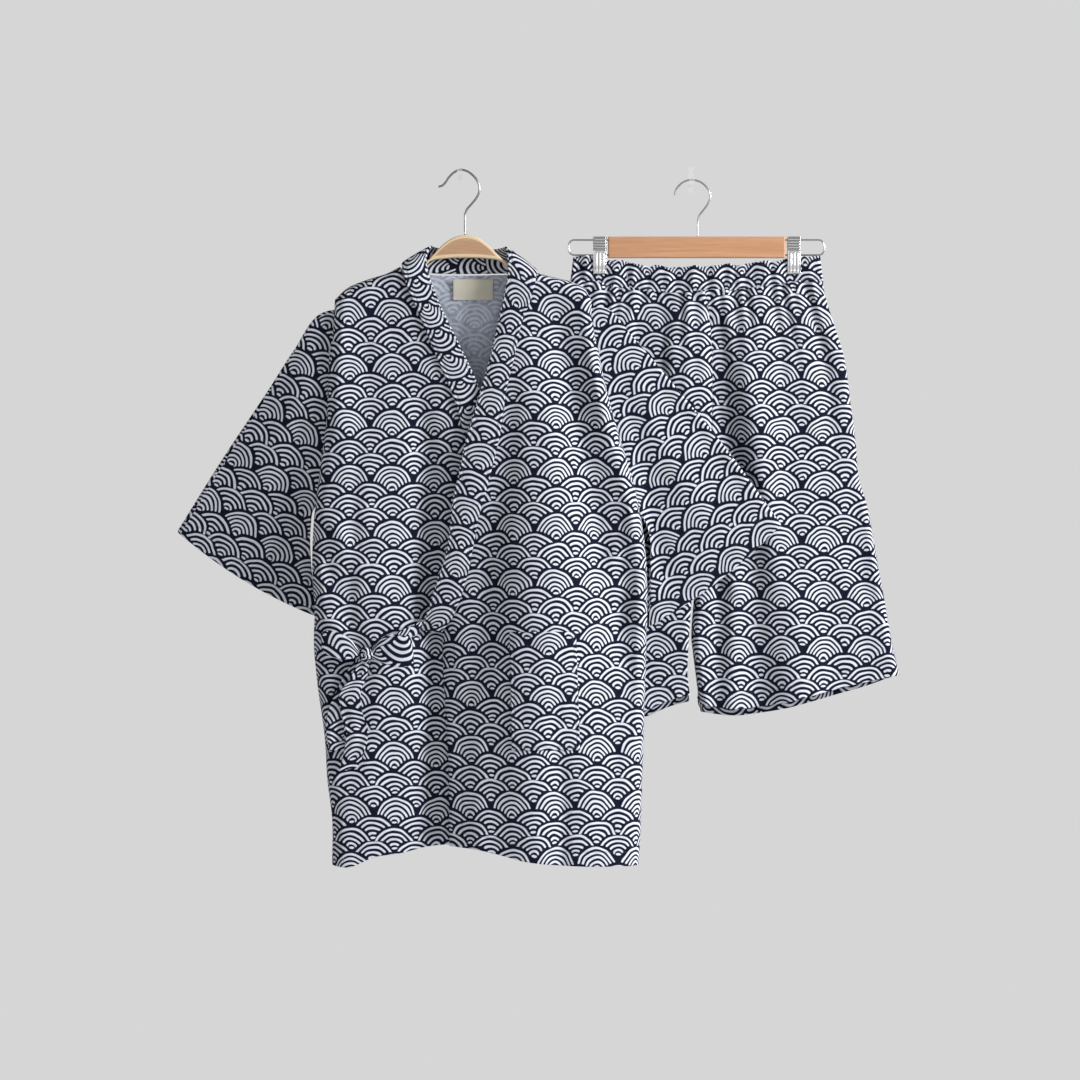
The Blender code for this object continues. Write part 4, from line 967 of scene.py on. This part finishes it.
def ribbon(name, rows, node, pleats, shift, half=0.9, turned=False):
    """A strip between the two edges of a table, with pleats along it: waves of the share across."""
    rows = np.asarray(rows, float)
    middle = (rows[:, :3] + rows[:, 3:]) / 2
    length = steps_of(middle).sum()
    shares, fullness = capped(np.linspace(0, 1, 150), length, 1.0)
    edges = line_through(rows, shares, by_row=True)
    first, second = edges[:, [0, 2, 1]], edges[:, [3, 5, 4]]
    grid = flat_tube(first, second, half * fullness, faces=26, turns=4, crown=0.3)
    across = np.linalg.norm(grid - first[:, None], axis=-1) / np.linalg.norm(second - first, axis=-1)[:, None]
    along = shares[:, None]
    wander = 2.1 * np.sin(along * 3.0 + pleats)
    wave = np.sin(across * 2 * np.pi * pleats + wander) * (0.5 + 0.35 * np.cos(along * 9))
    grid[..., 1] += wave * fullness[:, None] * rounded(np.minimum(across, 1 - across), 0.2)
    cut = around(grid, -shares * length, shift)
    if turned:
        cut = -cut[..., ::-1]
    strip = tube(name, grid, (RIGHT_SIDE,), away_from_all(cut))
    return stand_for(strip, "printed_cotton", node)


strap = ribbon("tie_strap_cloth", TIE_STRAP, "tie_strap", 1.2, (3.0, 12.0))
loop_right = ribbon("bow_loop_right", LOOP_RIGHT, "tie_loop_right", 1.6, (24.0, 10.0), half=0.8, turned=True)
loop_left = ribbon("bow_loop_left", LOOP_LEFT, "tie_loop_left", 2.1, (27.0, 40.0), half=0.8, turned=True)
tail_long = ribbon("bow_tail_long", TAIL_LONG, "tie_tail_long", 1.4, (44.0, 9.0))
tail_short = ribbon("bow_tail_short", TAIL_SHORT, "tie_tail_short", 1.1, (12.0, 30.0))

turn = np.linspace(0, 2 * np.pi, 73)[None, :-1]
tilt = np.radians(np.concatenate([[0.2, 2, 5], np.linspace(10, 170, 40), [175, 178, 179.8]]))[:, None]
groove = 0.10 * np.exp(-((np.cos(turn - 0.6) / 0.25) ** 2))
lump = 0.07 * np.sin(3 * turn + 4 * tilt) + 0.05 * np.sin(7 * turn - 3 * tilt) - groove
lump = 1 + lump * np.sin(tilt)
knot_x = -118 + 9.4 * lump * np.sin(tilt) * np.cos(turn)
knot_z = -603.5 + 10.2 * lump * np.sin(tilt) * np.sin(turn)
knot_grid = stacked(knot_x, -38.5 + 8.0 * lump * np.cos(tilt), knot_z)
knot_map = around(knot_grid, tilt[:, 0] * 13.0, (7.0, 21.0))
knot = tube("bow_knot", knot_grid, (RIGHT_SIDE,), away_from_all(knot_map))
stand_for(knot, "printed_cotton", "tie_knot")

# %% [markdown]
# The shorts are four panels below an elastic waistband. The elastic gathers them, so short waves of
# depth start at the band and die away downwards, the narrow ones first. Lower down the cloth keeps
# only the crease pressed into each leg and the long soft folds. The back hem hangs a little lower,
# and shows its turned-up printed edge.

# %% Shorts, in millimetres
PLANE = 44.0  # the shorts hang this far behind the jacket's hanger
WAIST_TOP = [
    (140.5, -106), (164, -104.5), (184, -108.5), (216, -113.5), (272, -118), (316, -116), (366, -113.5),
    (398, -109.5), (425, -104.5), (451.5, -105.5),
]
BAND, BAND_SPREAD, BAND_HALF, BAND_PINCH = 32.0, 4.0, 4.5, 3.2
BAND_FOOT = -138.0  # the gathers die away below this height
CLIPS = (174.0, 418.6)
LEG_SIDE_LEFT = [
    (455, -141), (459, -158), (469, -190), (481, -229), (490, -291), (496, -336), (501, -386), (510, -416),
    (519, -461), (527.5, -511), (533, -540), (541, -586), (551, -630),
]
LEG_SIDE_RIGHT = [
    (137, -141), (133, -158), (124, -190), (112, -229), (102, -291), (96, -336), (91, -386), (82, -416),
    (73, -461), (64, -511), (59, -540), (51, -586), (42, -630),
]
CENTRE_SEAM = [(306, -148), (313, -190), (316, -250), (314, -324), (305, -410), (296, -486)]
INSEAM_LEFT = [(294, -520), (289.5, -575), (291, -600), (295, -632), (301, -668)]
INSEAM_RIGHT = [(291, -520), (286.5, -575), (285, -600), (284, -629), (287, -655)]
LEG_HEM_LEFT = [
    (301, -668), (344, -673), (379, -669), (410, -664), (441, -656), (472, -647.5), (503, -640),
    (551, -630),
]
LEG_HEM_RIGHT = [
    (42, -630), (90, -644), (130, -656), (170, -668), (205, -674), (233, -674), (256, -664), (270, -659),
    (287, -655),
]
LEG_FOLDS = [
    # from x, z, to x, z, bend, half width, height
    (348, -120, 440, -860, 6, 28, 12),
    (316, -140, 378, -520, 8, 17, -9.5),
    (372, -400, 388, -860, 4, 22, -8),
    (234, -130, 246, -380, 3, 19, -13.0),
    (270, -160, 262, -360, 3, 18, 3.5),
    (440, -160, 470, -400, -5, 16, -3.5),
    (480, -200, 512, -640, -6, 18, -3.5),
    (348, -420, 338, -760, 2, 10, 2.4),
    (322, -420, 318, -760, -3, 10, -4.0),
    (430, -330, 452, -760, 5, 20, 3.4),
    (395, -480, 402, -760, -4, 18, -3.6),
    (170, -240, 130, -720, 4, 30, 5.0),
    (304, -470, 396, -560, 7, 11, 2.6),
    (300, -455, 250, -560, -5, 10, 2.4),
]
LEG_BACK_FOLDS = [
    # from x, z, to x, z, bend, half width, height
    (390, -170, 410, -760, 5, 30, 5.0),
    (344, -160, 356, -520, -5, 18, -4.0),
    (460, -170, 492, -720, 4, 20, -3.0),
    (190, -190, 160, -740, -5, 30, 5.0),
    (250, -160, 244, -520, 5, 18, -4.0),
    (298, -455, 380, -560, 6, 12, 3.0),
    (300, -455, 220, -560, -6, 12, 3.0),
]


def band_line(down, columns):
    """The waistband's line at this share of its height, from its right side to its left."""
    line = line_through(WAIST_TOP, columns)
    middle = line[:, 0].mean()
    spread = 1 + BAND_SPREAD / 155 * down
    return stacked(middle + (line[:, 0] - middle) * spread, line[:, 1] - BAND * down)


def band_bottom(x):
    """Where the panels end, 2 mm up behind the band's lower edge."""
    line = band_line(1.0, 60)
    return np.interp(x, line[:, 0], line[:, 1]) + 2.0


GATHERS = [
    # length, reach, height
    (9.5, 38.0, 1.5), (19.0, 80.0, 2.6), (38.0, 200.0, 2.6),
]


def gathers(x, below, seed):
    """Waves across the cloth in three lengths, each with its own fading depth: exp(-below / reach)."""
    still = np.zeros_like(x)
    return sum(
        height * uneven(x, still, length, seed + n, 5) * np.exp(-below / reach)
        for n, (length, reach, height) in enumerate(GATHERS)
    )


def leg_depth(x, z, face):
    """Half the leg's thickness at each point, brought in at the side and, below the crotch, at the inseam."""
    full = 4.9 + (15.0 - 4.9) * smooth_step(-z, 150, 560)
    right, left = side_at(LEG_SIDE_RIGHT, z), side_at(LEG_SIDE_LEFT, z)
    folds = creases(x, z, LEG_FOLDS if face < 0 else LEG_BACK_FOLDS)
    across = (x - right) / (left - right) * 318
    folds = folds + gathers(across, np.maximum(BAND_FOOT - z, 0), 40 if face < 0 else 60)
    folds = folds + 0.7 * uneven(x, z, 70, 52 + face) + 0.25 * uneven(x, z, 30, 55 + face)
    outer = np.minimum(x - right, left - x)
    seam = np.array(CENTRE_SEAM + INSEAM_LEFT)[::-1]
    gap = np.abs(x - np.interp(z, seam[:, 1], seam[:, 0]))
    crotch = smooth_step(-z, 486, 560)
    inner = rounded(gap + 0.03, 9.0) * crotch + 1 - crotch
    groove = 1.3 * np.exp(-((gap / 2.2) ** 2)) * (1 - crotch)
    depth = (full - groove + folds * rounded(outer, 30)) * rounded(outer + 0.03, 9.0) * inner
    return PLANE + face * (0.05 + np.maximum(depth, 0.9))


LEG_ROWS = np.concatenate([np.linspace(0, 0.12, 40)[:-1], np.linspace(0.12, 1, 130)])
LEG_COLUMNS = crowded(120, 0.6)


def leg_panel(name, side_rows, inseam_rows, hem_rows, face, node, shift):
    """A front or back of one leg, from the band to its turned-up hem."""
    outward = 1 if side_rows is LEG_SIDE_LEFT else -1
    drop = 9.0 if face > 0 else 0.0
    hem = [(x, z - drop * rounded(abs(x - side_rows[-1][0]), 160.0)) for x, z in hem_rows]
    foot = hem[0] if outward > 0 else hem[-1]
    inner = [(x + outward * 0.05, z) for x, z in CENTRE_SEAM] + inseam_rows[:-1] + [foot]
    centre = line_through(inner, LEG_ROWS, by_row=True)
    side = line_through(side_rows, LEG_ROWS)
    centre[0, 1], side[0, 1] = band_bottom(centre[0, 0]), band_bottom(side[0, 0])
    left, right = (centre, side) if outward > 0 else (side, centre)
    across = left[0, 0] + (right[0, 0] - left[0, 0]) * LEG_COLUMNS
    top = stacked(across, band_bottom(across))
    flat = patch_between(top, line_through(hem, LEG_COLUMNS), left, right, LEG_COLUMNS, LEG_ROWS)
    x, z = flat[..., 0], flat[..., 1]
    grid = stacked(x, leg_depth(x, z, face), z)
    cut = laid_flat(grid, 120, 60)
    fuller = 1 + 0.20 * np.exp(-np.maximum(BAND_FOOT - z, 0) / 60)
    middle = cut[:, 60:61, 0]
    cut = stacked(middle + (cut[..., 0] - middle) * fuller + shift[0], cut[..., 1] + shift[1])
    grid, cut, tall = hemmed(grid, cut, normals_of(grid) * -face)
    maps = {"print": cut, "sewing": stacked(cut[..., 0], tall)}
    panel = surface(name, grid, BOTH_SIDES, maps, flip=face > 0)
    return stand_for(panel, "printed_cotton", node)


LEFT_LEG = (LEG_SIDE_LEFT, INSEAM_LEFT, LEG_HEM_LEFT)
RIGHT_LEG = (LEG_SIDE_RIGHT, INSEAM_RIGHT, LEG_HEM_RIGHT)
leg_panels = [
    leg_panel("left_leg_front", *LEFT_LEG, -1, "shorts_front_left", (6.0, 9.0)),
    leg_panel("right_leg_front", *RIGHT_LEG, -1, "shorts_front_right", (-3.0, 4.0)),
    leg_panel("left_leg_back", *LEFT_LEG, 1, "shorts_back_left", (15.0, 2.0)),
    leg_panel("right_leg_back", *RIGHT_LEG, 1, "shorts_back_right", (22.0, 7.0)),
]

# %% [markdown]
# The waistband is one strip folded over its elastic: up the outside, over the top and down the
# inside. It is gathered between two rows of stitches, so its waves are narrow, deepest halfway up
# and nearly gone at the stitches. The clips pinch it flat.

# %% Waistband
BAND_FULLNESS = 1.28  # length of the cloth over the length of the elastic


def waistband():
    """Rings at heights up the outside, over the top and down the inside, each with its own waves."""
    around_count = 180
    side = np.repeat([-1.0, 1.0], around_count)
    over_the_top = [0.012, 0.0, 0.0, 0.012]
    heights = np.concatenate([np.linspace(1.0, 0.04, 30), over_the_top, np.linspace(0.04, 1.0, 24)])
    inside = np.concatenate([np.zeros(30), [0.12, 0.35, 0.65, 0.88], np.ones(24)])
    columns = crowded(around_count, 0.5)
    rows = []
    for down, share in zip(heights, inside):
        line = band_line(down, columns)
        x, z = np.concatenate([line, line[::-1]]).T
        middle = line[:, 0].mean()
        puff = gathers(np.where(side < 0, x, x + 900), np.zeros_like(x), 77) * 0.55
        stitched = np.exp(-(((down - 0.13) / 0.06) ** 2)) + np.exp(-(((down - 0.9) / 0.07) ** 2))
        pinch = np.clip(sum(np.exp(-(((x - clip) / 15) ** 4)) for clip in CLIPS), 0, 1)
        thick = BAND_HALF + (BAND_PINCH - BAND_HALF) * pinch
        loose = (1 - 0.75 * stitched) * (1 - pinch) * (0.5 + np.sin(np.pi * down) * 0.6)
        thick = thick - 0.55 * stitched + puff * loose
        inset = np.minimum(x - x.min(), x.max() - x)
        depth = np.maximum(thick - 2.2 * share, 0.7) * rounded(inset + 0.03, 4.5) + 0.2
        x = middle + (x - middle) * (1 - 0.011 * share)
        top_wave = 0.44 * gathers(np.where(side < 0, x, x + 300), np.zeros_like(x), 83)
        top_wave = top_wave * (1 - smooth_step(down, 0.0, 0.35))
        rows.append(stacked(x, PLANE + side * depth, z + top_wave * (1 - pinch)))
    grid = np.array(rows)
    u = added_up(steps_of(closed_up(grid)[15]))[None, :] * BAND_FULLNESS + 5.0
    rise = added_up(steps_of(grid).mean(axis=1))[:, None]
    from_stitches = np.minimum(np.abs(heights - 0.13), np.abs(heights - 0.9))[:, None] * BAND
    maps = {"print": stacked(u, rise + BAND_FOOT - 3.0), "sewing": stacked(u, from_stitches + 17.0)}
    return surface("gathered_band", grid, BOTH_SIDES, maps, closed=True, flip=True)


band_piece = waistband()
stand_for(band_piece, "printed_cotton", "shorts_waistband")

# %% [markdown]
# The hangers are hard things. The wooden one is a flat arch with rounded edges, lighter at its rim
# where the cutter has gone through the varnish. The bar is a plain batten. Their grain is a noise
# stretched along the wood.

# %% Wood


def wood(name, shade, dark, stretch, rim=None):
    """Varnished wood with its grain along x, and a pale worn edge if a rim colour is given."""
    finish = Finish(name, shade, 0.42, Coat_Weight=0.25, Coat_Roughness=0.25)
    place = finish.add("ShaderNodeTexCoord", {}, {})[3]
    long_place = finish.add("ShaderNodeMapping", {}, {"Vector": place, "Scale": stretch})[0]
    takes = {"Vector": long_place, "Scale": 9.0, "Detail": 6.0, "Roughness": 0.65, "Distortion": 0.6}
    grain = finish.add("ShaderNodeTexNoise", {}, takes)[0]
    fine = finish.add("ShaderNodeTexNoise", {}, {"Vector": long_place, "Scale": 46.0, "Detail": 3.0})[0]
    body = finish.colours((grain * 0.7 + fine * 0.3).between(0.36, 0.66), dark, shade)
    if rim:
        near_edge = finish.map("print")[1]
        body = finish.colours(near_edge.between(0.0038, 0.0046), rim, body)
        line = near_edge.between(0.0020, 0.0024) - near_edge.between(0.0026, 0.0030)
        body = finish.colours(line * 0.35, body, dark)
    finish.feed("Base Color", body)
    finish.feed("Roughness", grain.between(0.3, 0.7, 0.36, 0.5))
    finish.feed("Normal", finish.bump(grain + fine * 0.5, 0.0003, 0.35))
    return finish.material


PALE_EDGE = (0.85, 0.66, 0.43)
ARCH = wood("arch_varnish", (0.600, 0.372, 0.225), (0.500, 0.290, 0.165), (0.9, 3.0, 7.0), rim=PALE_EDGE)
BATTEN = wood("bar_varnish", (0.665, 0.352, 0.190), (0.545, 0.262, 0.130), (0.5, 3.0, 11.0))

WOOD_TOP = [
    (-146, -161), (-143, -154.5), (-117, -142.5), (-80, -130), (-46, -116), (-34, -104), (-20, -90),
    (-6, -82), (5, -80), (17, -82), (32, -91), (46, -105), (60, -116), (99, -134), (143, -147),
    (149, -152), (152, -160),
]
WOOD_LOW = [
    (-145, -164), (-139, -167), (-120, -160), (-80, -146), (-52, -127), (-39, -113), (-20, -109.5),
    (5, -108.5), (30, -109.5), (49, -113), (62, -128), (99, -152), (140, -164), (147, -165),
    (150.5, -162),
]


def by_x(rows, x):
    """The z of an outline at each x, on its smooth line."""
    fine = line_through(rows, 400)
    return np.interp(x, fine[:, 0], fine[:, 1])


def batten(name, x, top, low, half, radius, material):
    """A board whose section is a rectangle with round corners, carried along x."""
    full = rounded(np.minimum(x - x[0], x[-1] - x) + 0.02, radius)[:, None]
    angle = np.radians(np.concatenate([np.linspace(a, a + 90, 7) for a in (0, 90, 180, 270)]))
    across = np.repeat([1, -1, -1, 1], 7)[None, :]
    height = np.repeat([1, 1, -1, -1], 7)[None, :]
    flat = np.linspace(-0.98, 0.98, 16)
    y = half * full - radius * full
    tall = ((top - low) / 2)[:, None]
    inner = tall - radius
    ring_y = across * np.maximum(y, 0) + radius * full * np.cos(angle)
    ring_z = height * inner + radius * (0.35 + 0.65 * full) * np.sin(angle)
    faces_z = flat[None, ::-1] * inner
    front = (-half * full) + 0 * faces_z
    ring_y = np.concatenate([ring_y[:, :14], front, ring_y[:, 14:], -front], axis=1)
    ring_z = np.concatenate([ring_z[:, :14], faces_z, ring_z[:, 14:], -faces_z], axis=1)
    middle = ((top + low) / 2)[:, None]
    grid = stacked(x[:, None], ring_y, middle + ring_z)
    edge = np.clip(closed_up(tall - np.abs(ring_z)), 0, None)
    edge = np.where(np.abs(closed_up(ring_y)) > half * 0.97, np.maximum(edge, 0.4), 0.0)
    return tube(name, grid, (material,), {"print": stacked(x[:, None], edge)})


left_tip, right_tip = [-146, -145.9, -145.6, -145, -144.2, -143], [149, 150.2, 151, 151.6, 151.9, 152]
x = np.concatenate([left_tip, np.linspace(-141.5, 147.5, 150), right_tip])
arch = batten("wood_arch", x, by_x(WOOD_TOP, x), by_x(WOOD_LOW, x), 6.0, 2.2, ARCH)
stand_for(arch, "hanger_wood", "jacket_hanger_wood")
left_tip, right_tip = [184.4, 184.45, 184.6, 184.9, 185.4], [406.6, 407.1, 407.4, 407.55, 407.6]
x = np.concatenate([left_tip, np.linspace(186, 406, 60), right_tip])
bar = batten("wood_bar", x, -79.5 + 0 * x, -106.2 + 0 * x, 6.0, 1.2, BATTEN)
bar.data.transform(mathutils.Matrix.Translation((0.0, PLANE * MM, 0.0)))
stand_for(bar, "hanger_wood", "shorts_hanger_bar")

# %% [markdown]
# The wires are circles carried along a path. The path lies in an upright plane, so each circle is
# spanned by the plane's normal and the path's own normal. A clip is one bent plate on each side:
# ridges across its finger end, ribs down its jaw and edges turned in.

# %% Hooks, wires and clips
STEEL = Finish("hook_wire", (0.40, 0.40, 0.41), 0.30, Metallic=1.0).material
PALE_STEEL = Finish("bright_wire", (0.66, 0.66, 0.67), 0.25, Metallic=1.0).material


def wire(name, path, radius, plane, material, node):
    """Circles along a path of x and z, shrunk to a round end at both."""
    shares, fullness = capped(np.linspace(0, 1, 130), steps_of(np.asarray(path, float)).sum(), radius)
    centre = line_through(path, shares)
    along = unit(np.gradient(centre, axis=0))
    turn = np.linspace(0, 2 * np.pi, 17)[None, :-1]
    r = radius * fullness[:, None]
    x = centre[:, :1] - along[:, 1:] * r * np.cos(turn)
    z = centre[:, 1:] + along[:, :1] * r * np.cos(turn)
    grid = stacked(x, plane + r * np.sin(turn), z)
    return stand_for(tube(name, grid, (material,), {}), "hook_steel", node)


HOOK_JACKET = [
    (-28.0, -20.5), (-27.0, -19.4), (-24, -18.6), (-20.2, -15.2), (-15.2, -8), (-9, -2), (-2, 1.4),
    (6, 0.4), (14, -4.6), (19.8, -11.5), (22.8, -20), (22.5, -27), (19, -34), (13, -41.5), (7.5, -48),
    (5.2, -54), (5, -62), (5, -80.5),
]
HOOK_SHORTS = [
    (268.2, -27), (269.5, -21.5), (275, -13.8), (283, -9), (291, -8), (300, -10.2), (308, -16.5),
    (312.6, -25), (312.8, -31.5), (309.5, -39), (304, -46.5), (299.5, -52.5), (297.6, -59), (297.5, -68),
    (297.5, -80),
]
wire("jacket_hook", HOOK_JACKET, 1.35, 0.0, STEEL, "jacket_hanger_hook")
wire("shorts_hook", HOOK_SHORTS, 1.15, PLANE, PALE_STEEL, "shorts_hanger_hook")


def half_loop(x_bar, x_end):
    """Out of the bar's end, round two corners and back."""
    side = np.sign(x_end - x_bar)
    turn = np.linspace(90, 0, 9)
    high = [(x_end + side * (np.cos(a) - 1) * 7, -90.5 + 7 * np.sin(a)) for a in np.radians(turn)]
    low = [(x_end + side * (np.cos(a) - 1) * 7, -95.5 + 7 * np.sin(a)) for a in np.radians(turn - 90)]
    straight = [(x_bar + (high[0][0] - x_bar) * t, -83.5) for t in (0.0, 0.25, 0.5, 0.75, 0.95)]
    return straight + high + low + [(x, -102.5) for x, _ in straight[::-1]]


wire("clip_wire_right", half_loop(184.6, 135.0), 1.1, PLANE, PALE_STEEL, "shorts_hanger_wire_right")
wire("clip_wire_left", half_loop(407.4, 456.5), 1.1, PLANE, PALE_STEEL, "shorts_hanger_wire_left")


def chrome():
    """Polished plate, with painted shade: its base colour goes dark in the hollows between its ridges and
    ribs.
    """
    finish = Finish("clip_plate", (0.90, 0.90, 0.91), 0.16, Metallic=1.0)
    x, z, _ = finish.map("print")
    ridge = (z * (1 / 0.0034)).math("FRACT").between(0.30, 0.12) * z.between(-0.0970, -0.0965)
    rib = (x * (1 / 0.0044) + 0.5).math("FRACT")
    rib = rib.between(0.34, 0.20) * z.between(-0.0985, -0.0990) * z.between(-0.1245, -0.1240)
    # painted shade: the plate's base colour turns dark in the hollows between the ridges and the ribs
    painted_hollow_shade = ridge.math("MAXIMUM", rib) * 0.72
    finish.feed("Base Color", finish.colours(painted_hollow_shade, (0.90, 0.90, 0.91), (0.20, 0.20, 0.21)))
    return finish.material


CHROME = chrome()
CLIP_HALF = 8.6
CLIP_DEPTHS = ([79.5, 96, 116, 121, 127], [7.6, 6.3, 6.3, 5.4, 5.3])  # below the hook, and out from the bar


def clip_plate(name, x, face, node):
    """Depth along z from a table, plus ridges above and ribs below; both edges turned in."""
    z = np.concatenate([np.linspace(-79.5, -97, 48), np.linspace(-97.5, -127, 30)])[:, None]
    edge = np.array([0.9, 0.94, 0.965, 0.985, 0.995, 1])
    t = np.concatenate([-edge[::-1], np.linspace(-0.86, 0.86, 32), edge])[None, :]
    outer = np.interp(-z, *CLIP_DEPTHS)
    ridge = 0.35 * np.cos(2 * np.pi * (z / 3.4 - 0.7)) * smooth_step(z, -98.5, -96.5)
    ribbed = smooth_step(-z, 98, 100) * smooth_step(z, -125, -123)
    rib = 0.40 * np.cos(2 * np.pi * t * CLIP_HALF / 4.4) * ribbed
    flange = 2.4 * (1 - rounded((1 - np.abs(t)) * CLIP_HALF, 2.2))
    end = 0.8 * (1 - rounded(np.minimum(-79.5 - z, z + 127), 1.2))
    y = PLANE + face * (outer + ridge + rib * (np.abs(t) < 0.9) - flange - end)
    grid = stacked(x + t * CLIP_HALF, y, z)
    maps = {"print": stacked(t * CLIP_HALF, z)}
    plate = surface(name, grid, (CHROME,), maps, flip=face > 0, sheet=1.0)
    return stand_for(plate, "clip_chrome", node)


for centre, end in zip(CLIPS, ("right", "left")):
    clip_plate("clip_plate_" + end + "_front", centre, -1, "clip_" + end + "_front")
    clip_plate("clip_plate_" + end + "_back", centre, 1, "clip_" + end + "_back")

CLEAR = Finish("clear_gloss", (0.80, 0.80, 0.81), 0.08, Coat_Weight=0.6, Alpha=0.30)
for node in ("wall_hook_jacket", "wall_hook_shorts"):
    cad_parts[node].data.materials.clear()
    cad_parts[node].data.materials.append(CLEAR.material)

# %% [markdown]
# Each sheet's own flat map holds what it was cut to, so the width and the length are read from it.

# %% What each sheet was cut to


def declare(piece, plies=1.0):
    """The width and the length of the piece's cut, from the extent of its flat map.

    A strip folded flat has a map that goes round both its faces, so half of that width is its own.
    """
    layer = piece.data.uv_layers["print"].data
    flat = np.empty(len(layer) * 2)
    layer.foreach_get("uv", flat)
    quad = flat.reshape(-1, 4, 2)
    width, length = quad.max(axis=(0, 1)) - quad.min(axis=(0, 1))
    width *= plies


for panel in (back, under, over):
    declare(panel)
for panel in (sleeve_right, sleeve_left):
    declare(panel)
declare(pocket_piece)
declare(collar, plies=0.5)
declare(label)
declare(strap, plies=0.5)
declare(loop_right, plies=0.5)
declare(loop_left, plies=0.5)
declare(tail_long, plies=0.5)
declare(tail_short, plies=0.5)
for panel in leg_panels:
    declare(panel)
declare(band_piece)


# %% [markdown]
# The room is a pale floor and a pale sky, brightest in a wide band at the horizon and dimmer above
# and below it. One large soft light stands to the right, so it grazes the cloth and shades every
# fold, and a weak one lifts the shadows from the left.

# %% Floor, light and camera


def floor(name, low, half):
    """A square of floor at this height, for staging only."""
    mesh = bpy.data.meshes.new(name)
    corners = [(-half, -half), (half, -half), (half, half), (-half, half)]
    mesh.from_pydata([(x + 0.1, y, low) for x, y in corners], [], [(0, 1, 2, 3)])
    mesh.materials.append(Finish("floor_paper", (0.62, 0.62, 0.62), 0.9).material)
    piece = bpy.data.objects.new(name, mesh)
    bpy.context.scene.collection.objects.link(piece)


def soft_light(name, place, aim, size, power):
    """A square lamp at a place, turned to its aim."""
    lamp = bpy.data.lights.new(name, "AREA")
    lamp.shape, lamp.size, lamp.energy = "SQUARE", size, power
    holder = bpy.data.objects.new(name, lamp)
    holder.location = place
    holder.rotation_mode = "QUATERNION"
    direction = mathutils.Vector(aim) - mathutils.Vector(place)
    holder.rotation_quaternion = direction.to_track_quat("-Z", "Y")
    bpy.context.scene.collection.objects.link(holder)


floor("floor", -1.35, 1.2)
soft_light("window", (3.4, -1.45, 0.7), (0.1, 0, -0.4), 1.2, 186.0)
soft_light("fill", (-1.6, -3.0, 0.3), (0.0, 0, -0.5), 1.8, 4.0)
sky = bpy.data.worlds.new("studio")
sky.use_nodes = True
nodes, links = sky.node_tree.nodes, sky.node_tree.links
direction = nodes.new("ShaderNodeTexCoord")
height = nodes.new("ShaderNodeSeparateXYZ")
shade = nodes.new("ShaderNodeMapRange")
shades = nodes.new("ShaderNodeValToRGB")
shade.inputs["From Min"].default_value = -1.0
links.new(direction.outputs["Generated"], height.inputs[0])
links.new(height.outputs[2], shade.inputs[0])
links.new(shade.outputs[0], shades.inputs[0])
links.new(shades.outputs[0], nodes["Background"].inputs[0])
bands = shades.color_ramp.elements
for position, grey in ((0.27, 0.12), (0.34, 0.672), (0.57, 0.672), (0.62, 0.22)):
    bands.new(position).color = (grey, grey, grey, 1.0)
bands[0].color, bands[-1].color = (0.12, 0.12, 0.12, 1.0), (0.26, 0.26, 0.26, 1.0)
scene = bpy.context.scene
scene.world = sky
scene.view_settings.view_transform = "Standard"
scene.view_settings.look = "None"

DISTANCE = 6.0
VIEW_WIDTH = 1.35
eye = bpy.data.cameras.new("eye")
eye.sensor_width = 36.0
eye.lens = 36.0 * DISTANCE / VIEW_WIDTH
camera = bpy.data.objects.new("eye", eye)
camera.location = (0.09875, -DISTANCE, -0.46125)
camera.rotation_euler = (np.pi / 2, 0.0, 0.0)
scene.collection.objects.link(camera)
scene.camera = camera
print("camera at", [round(v, 3) for v in camera.location])
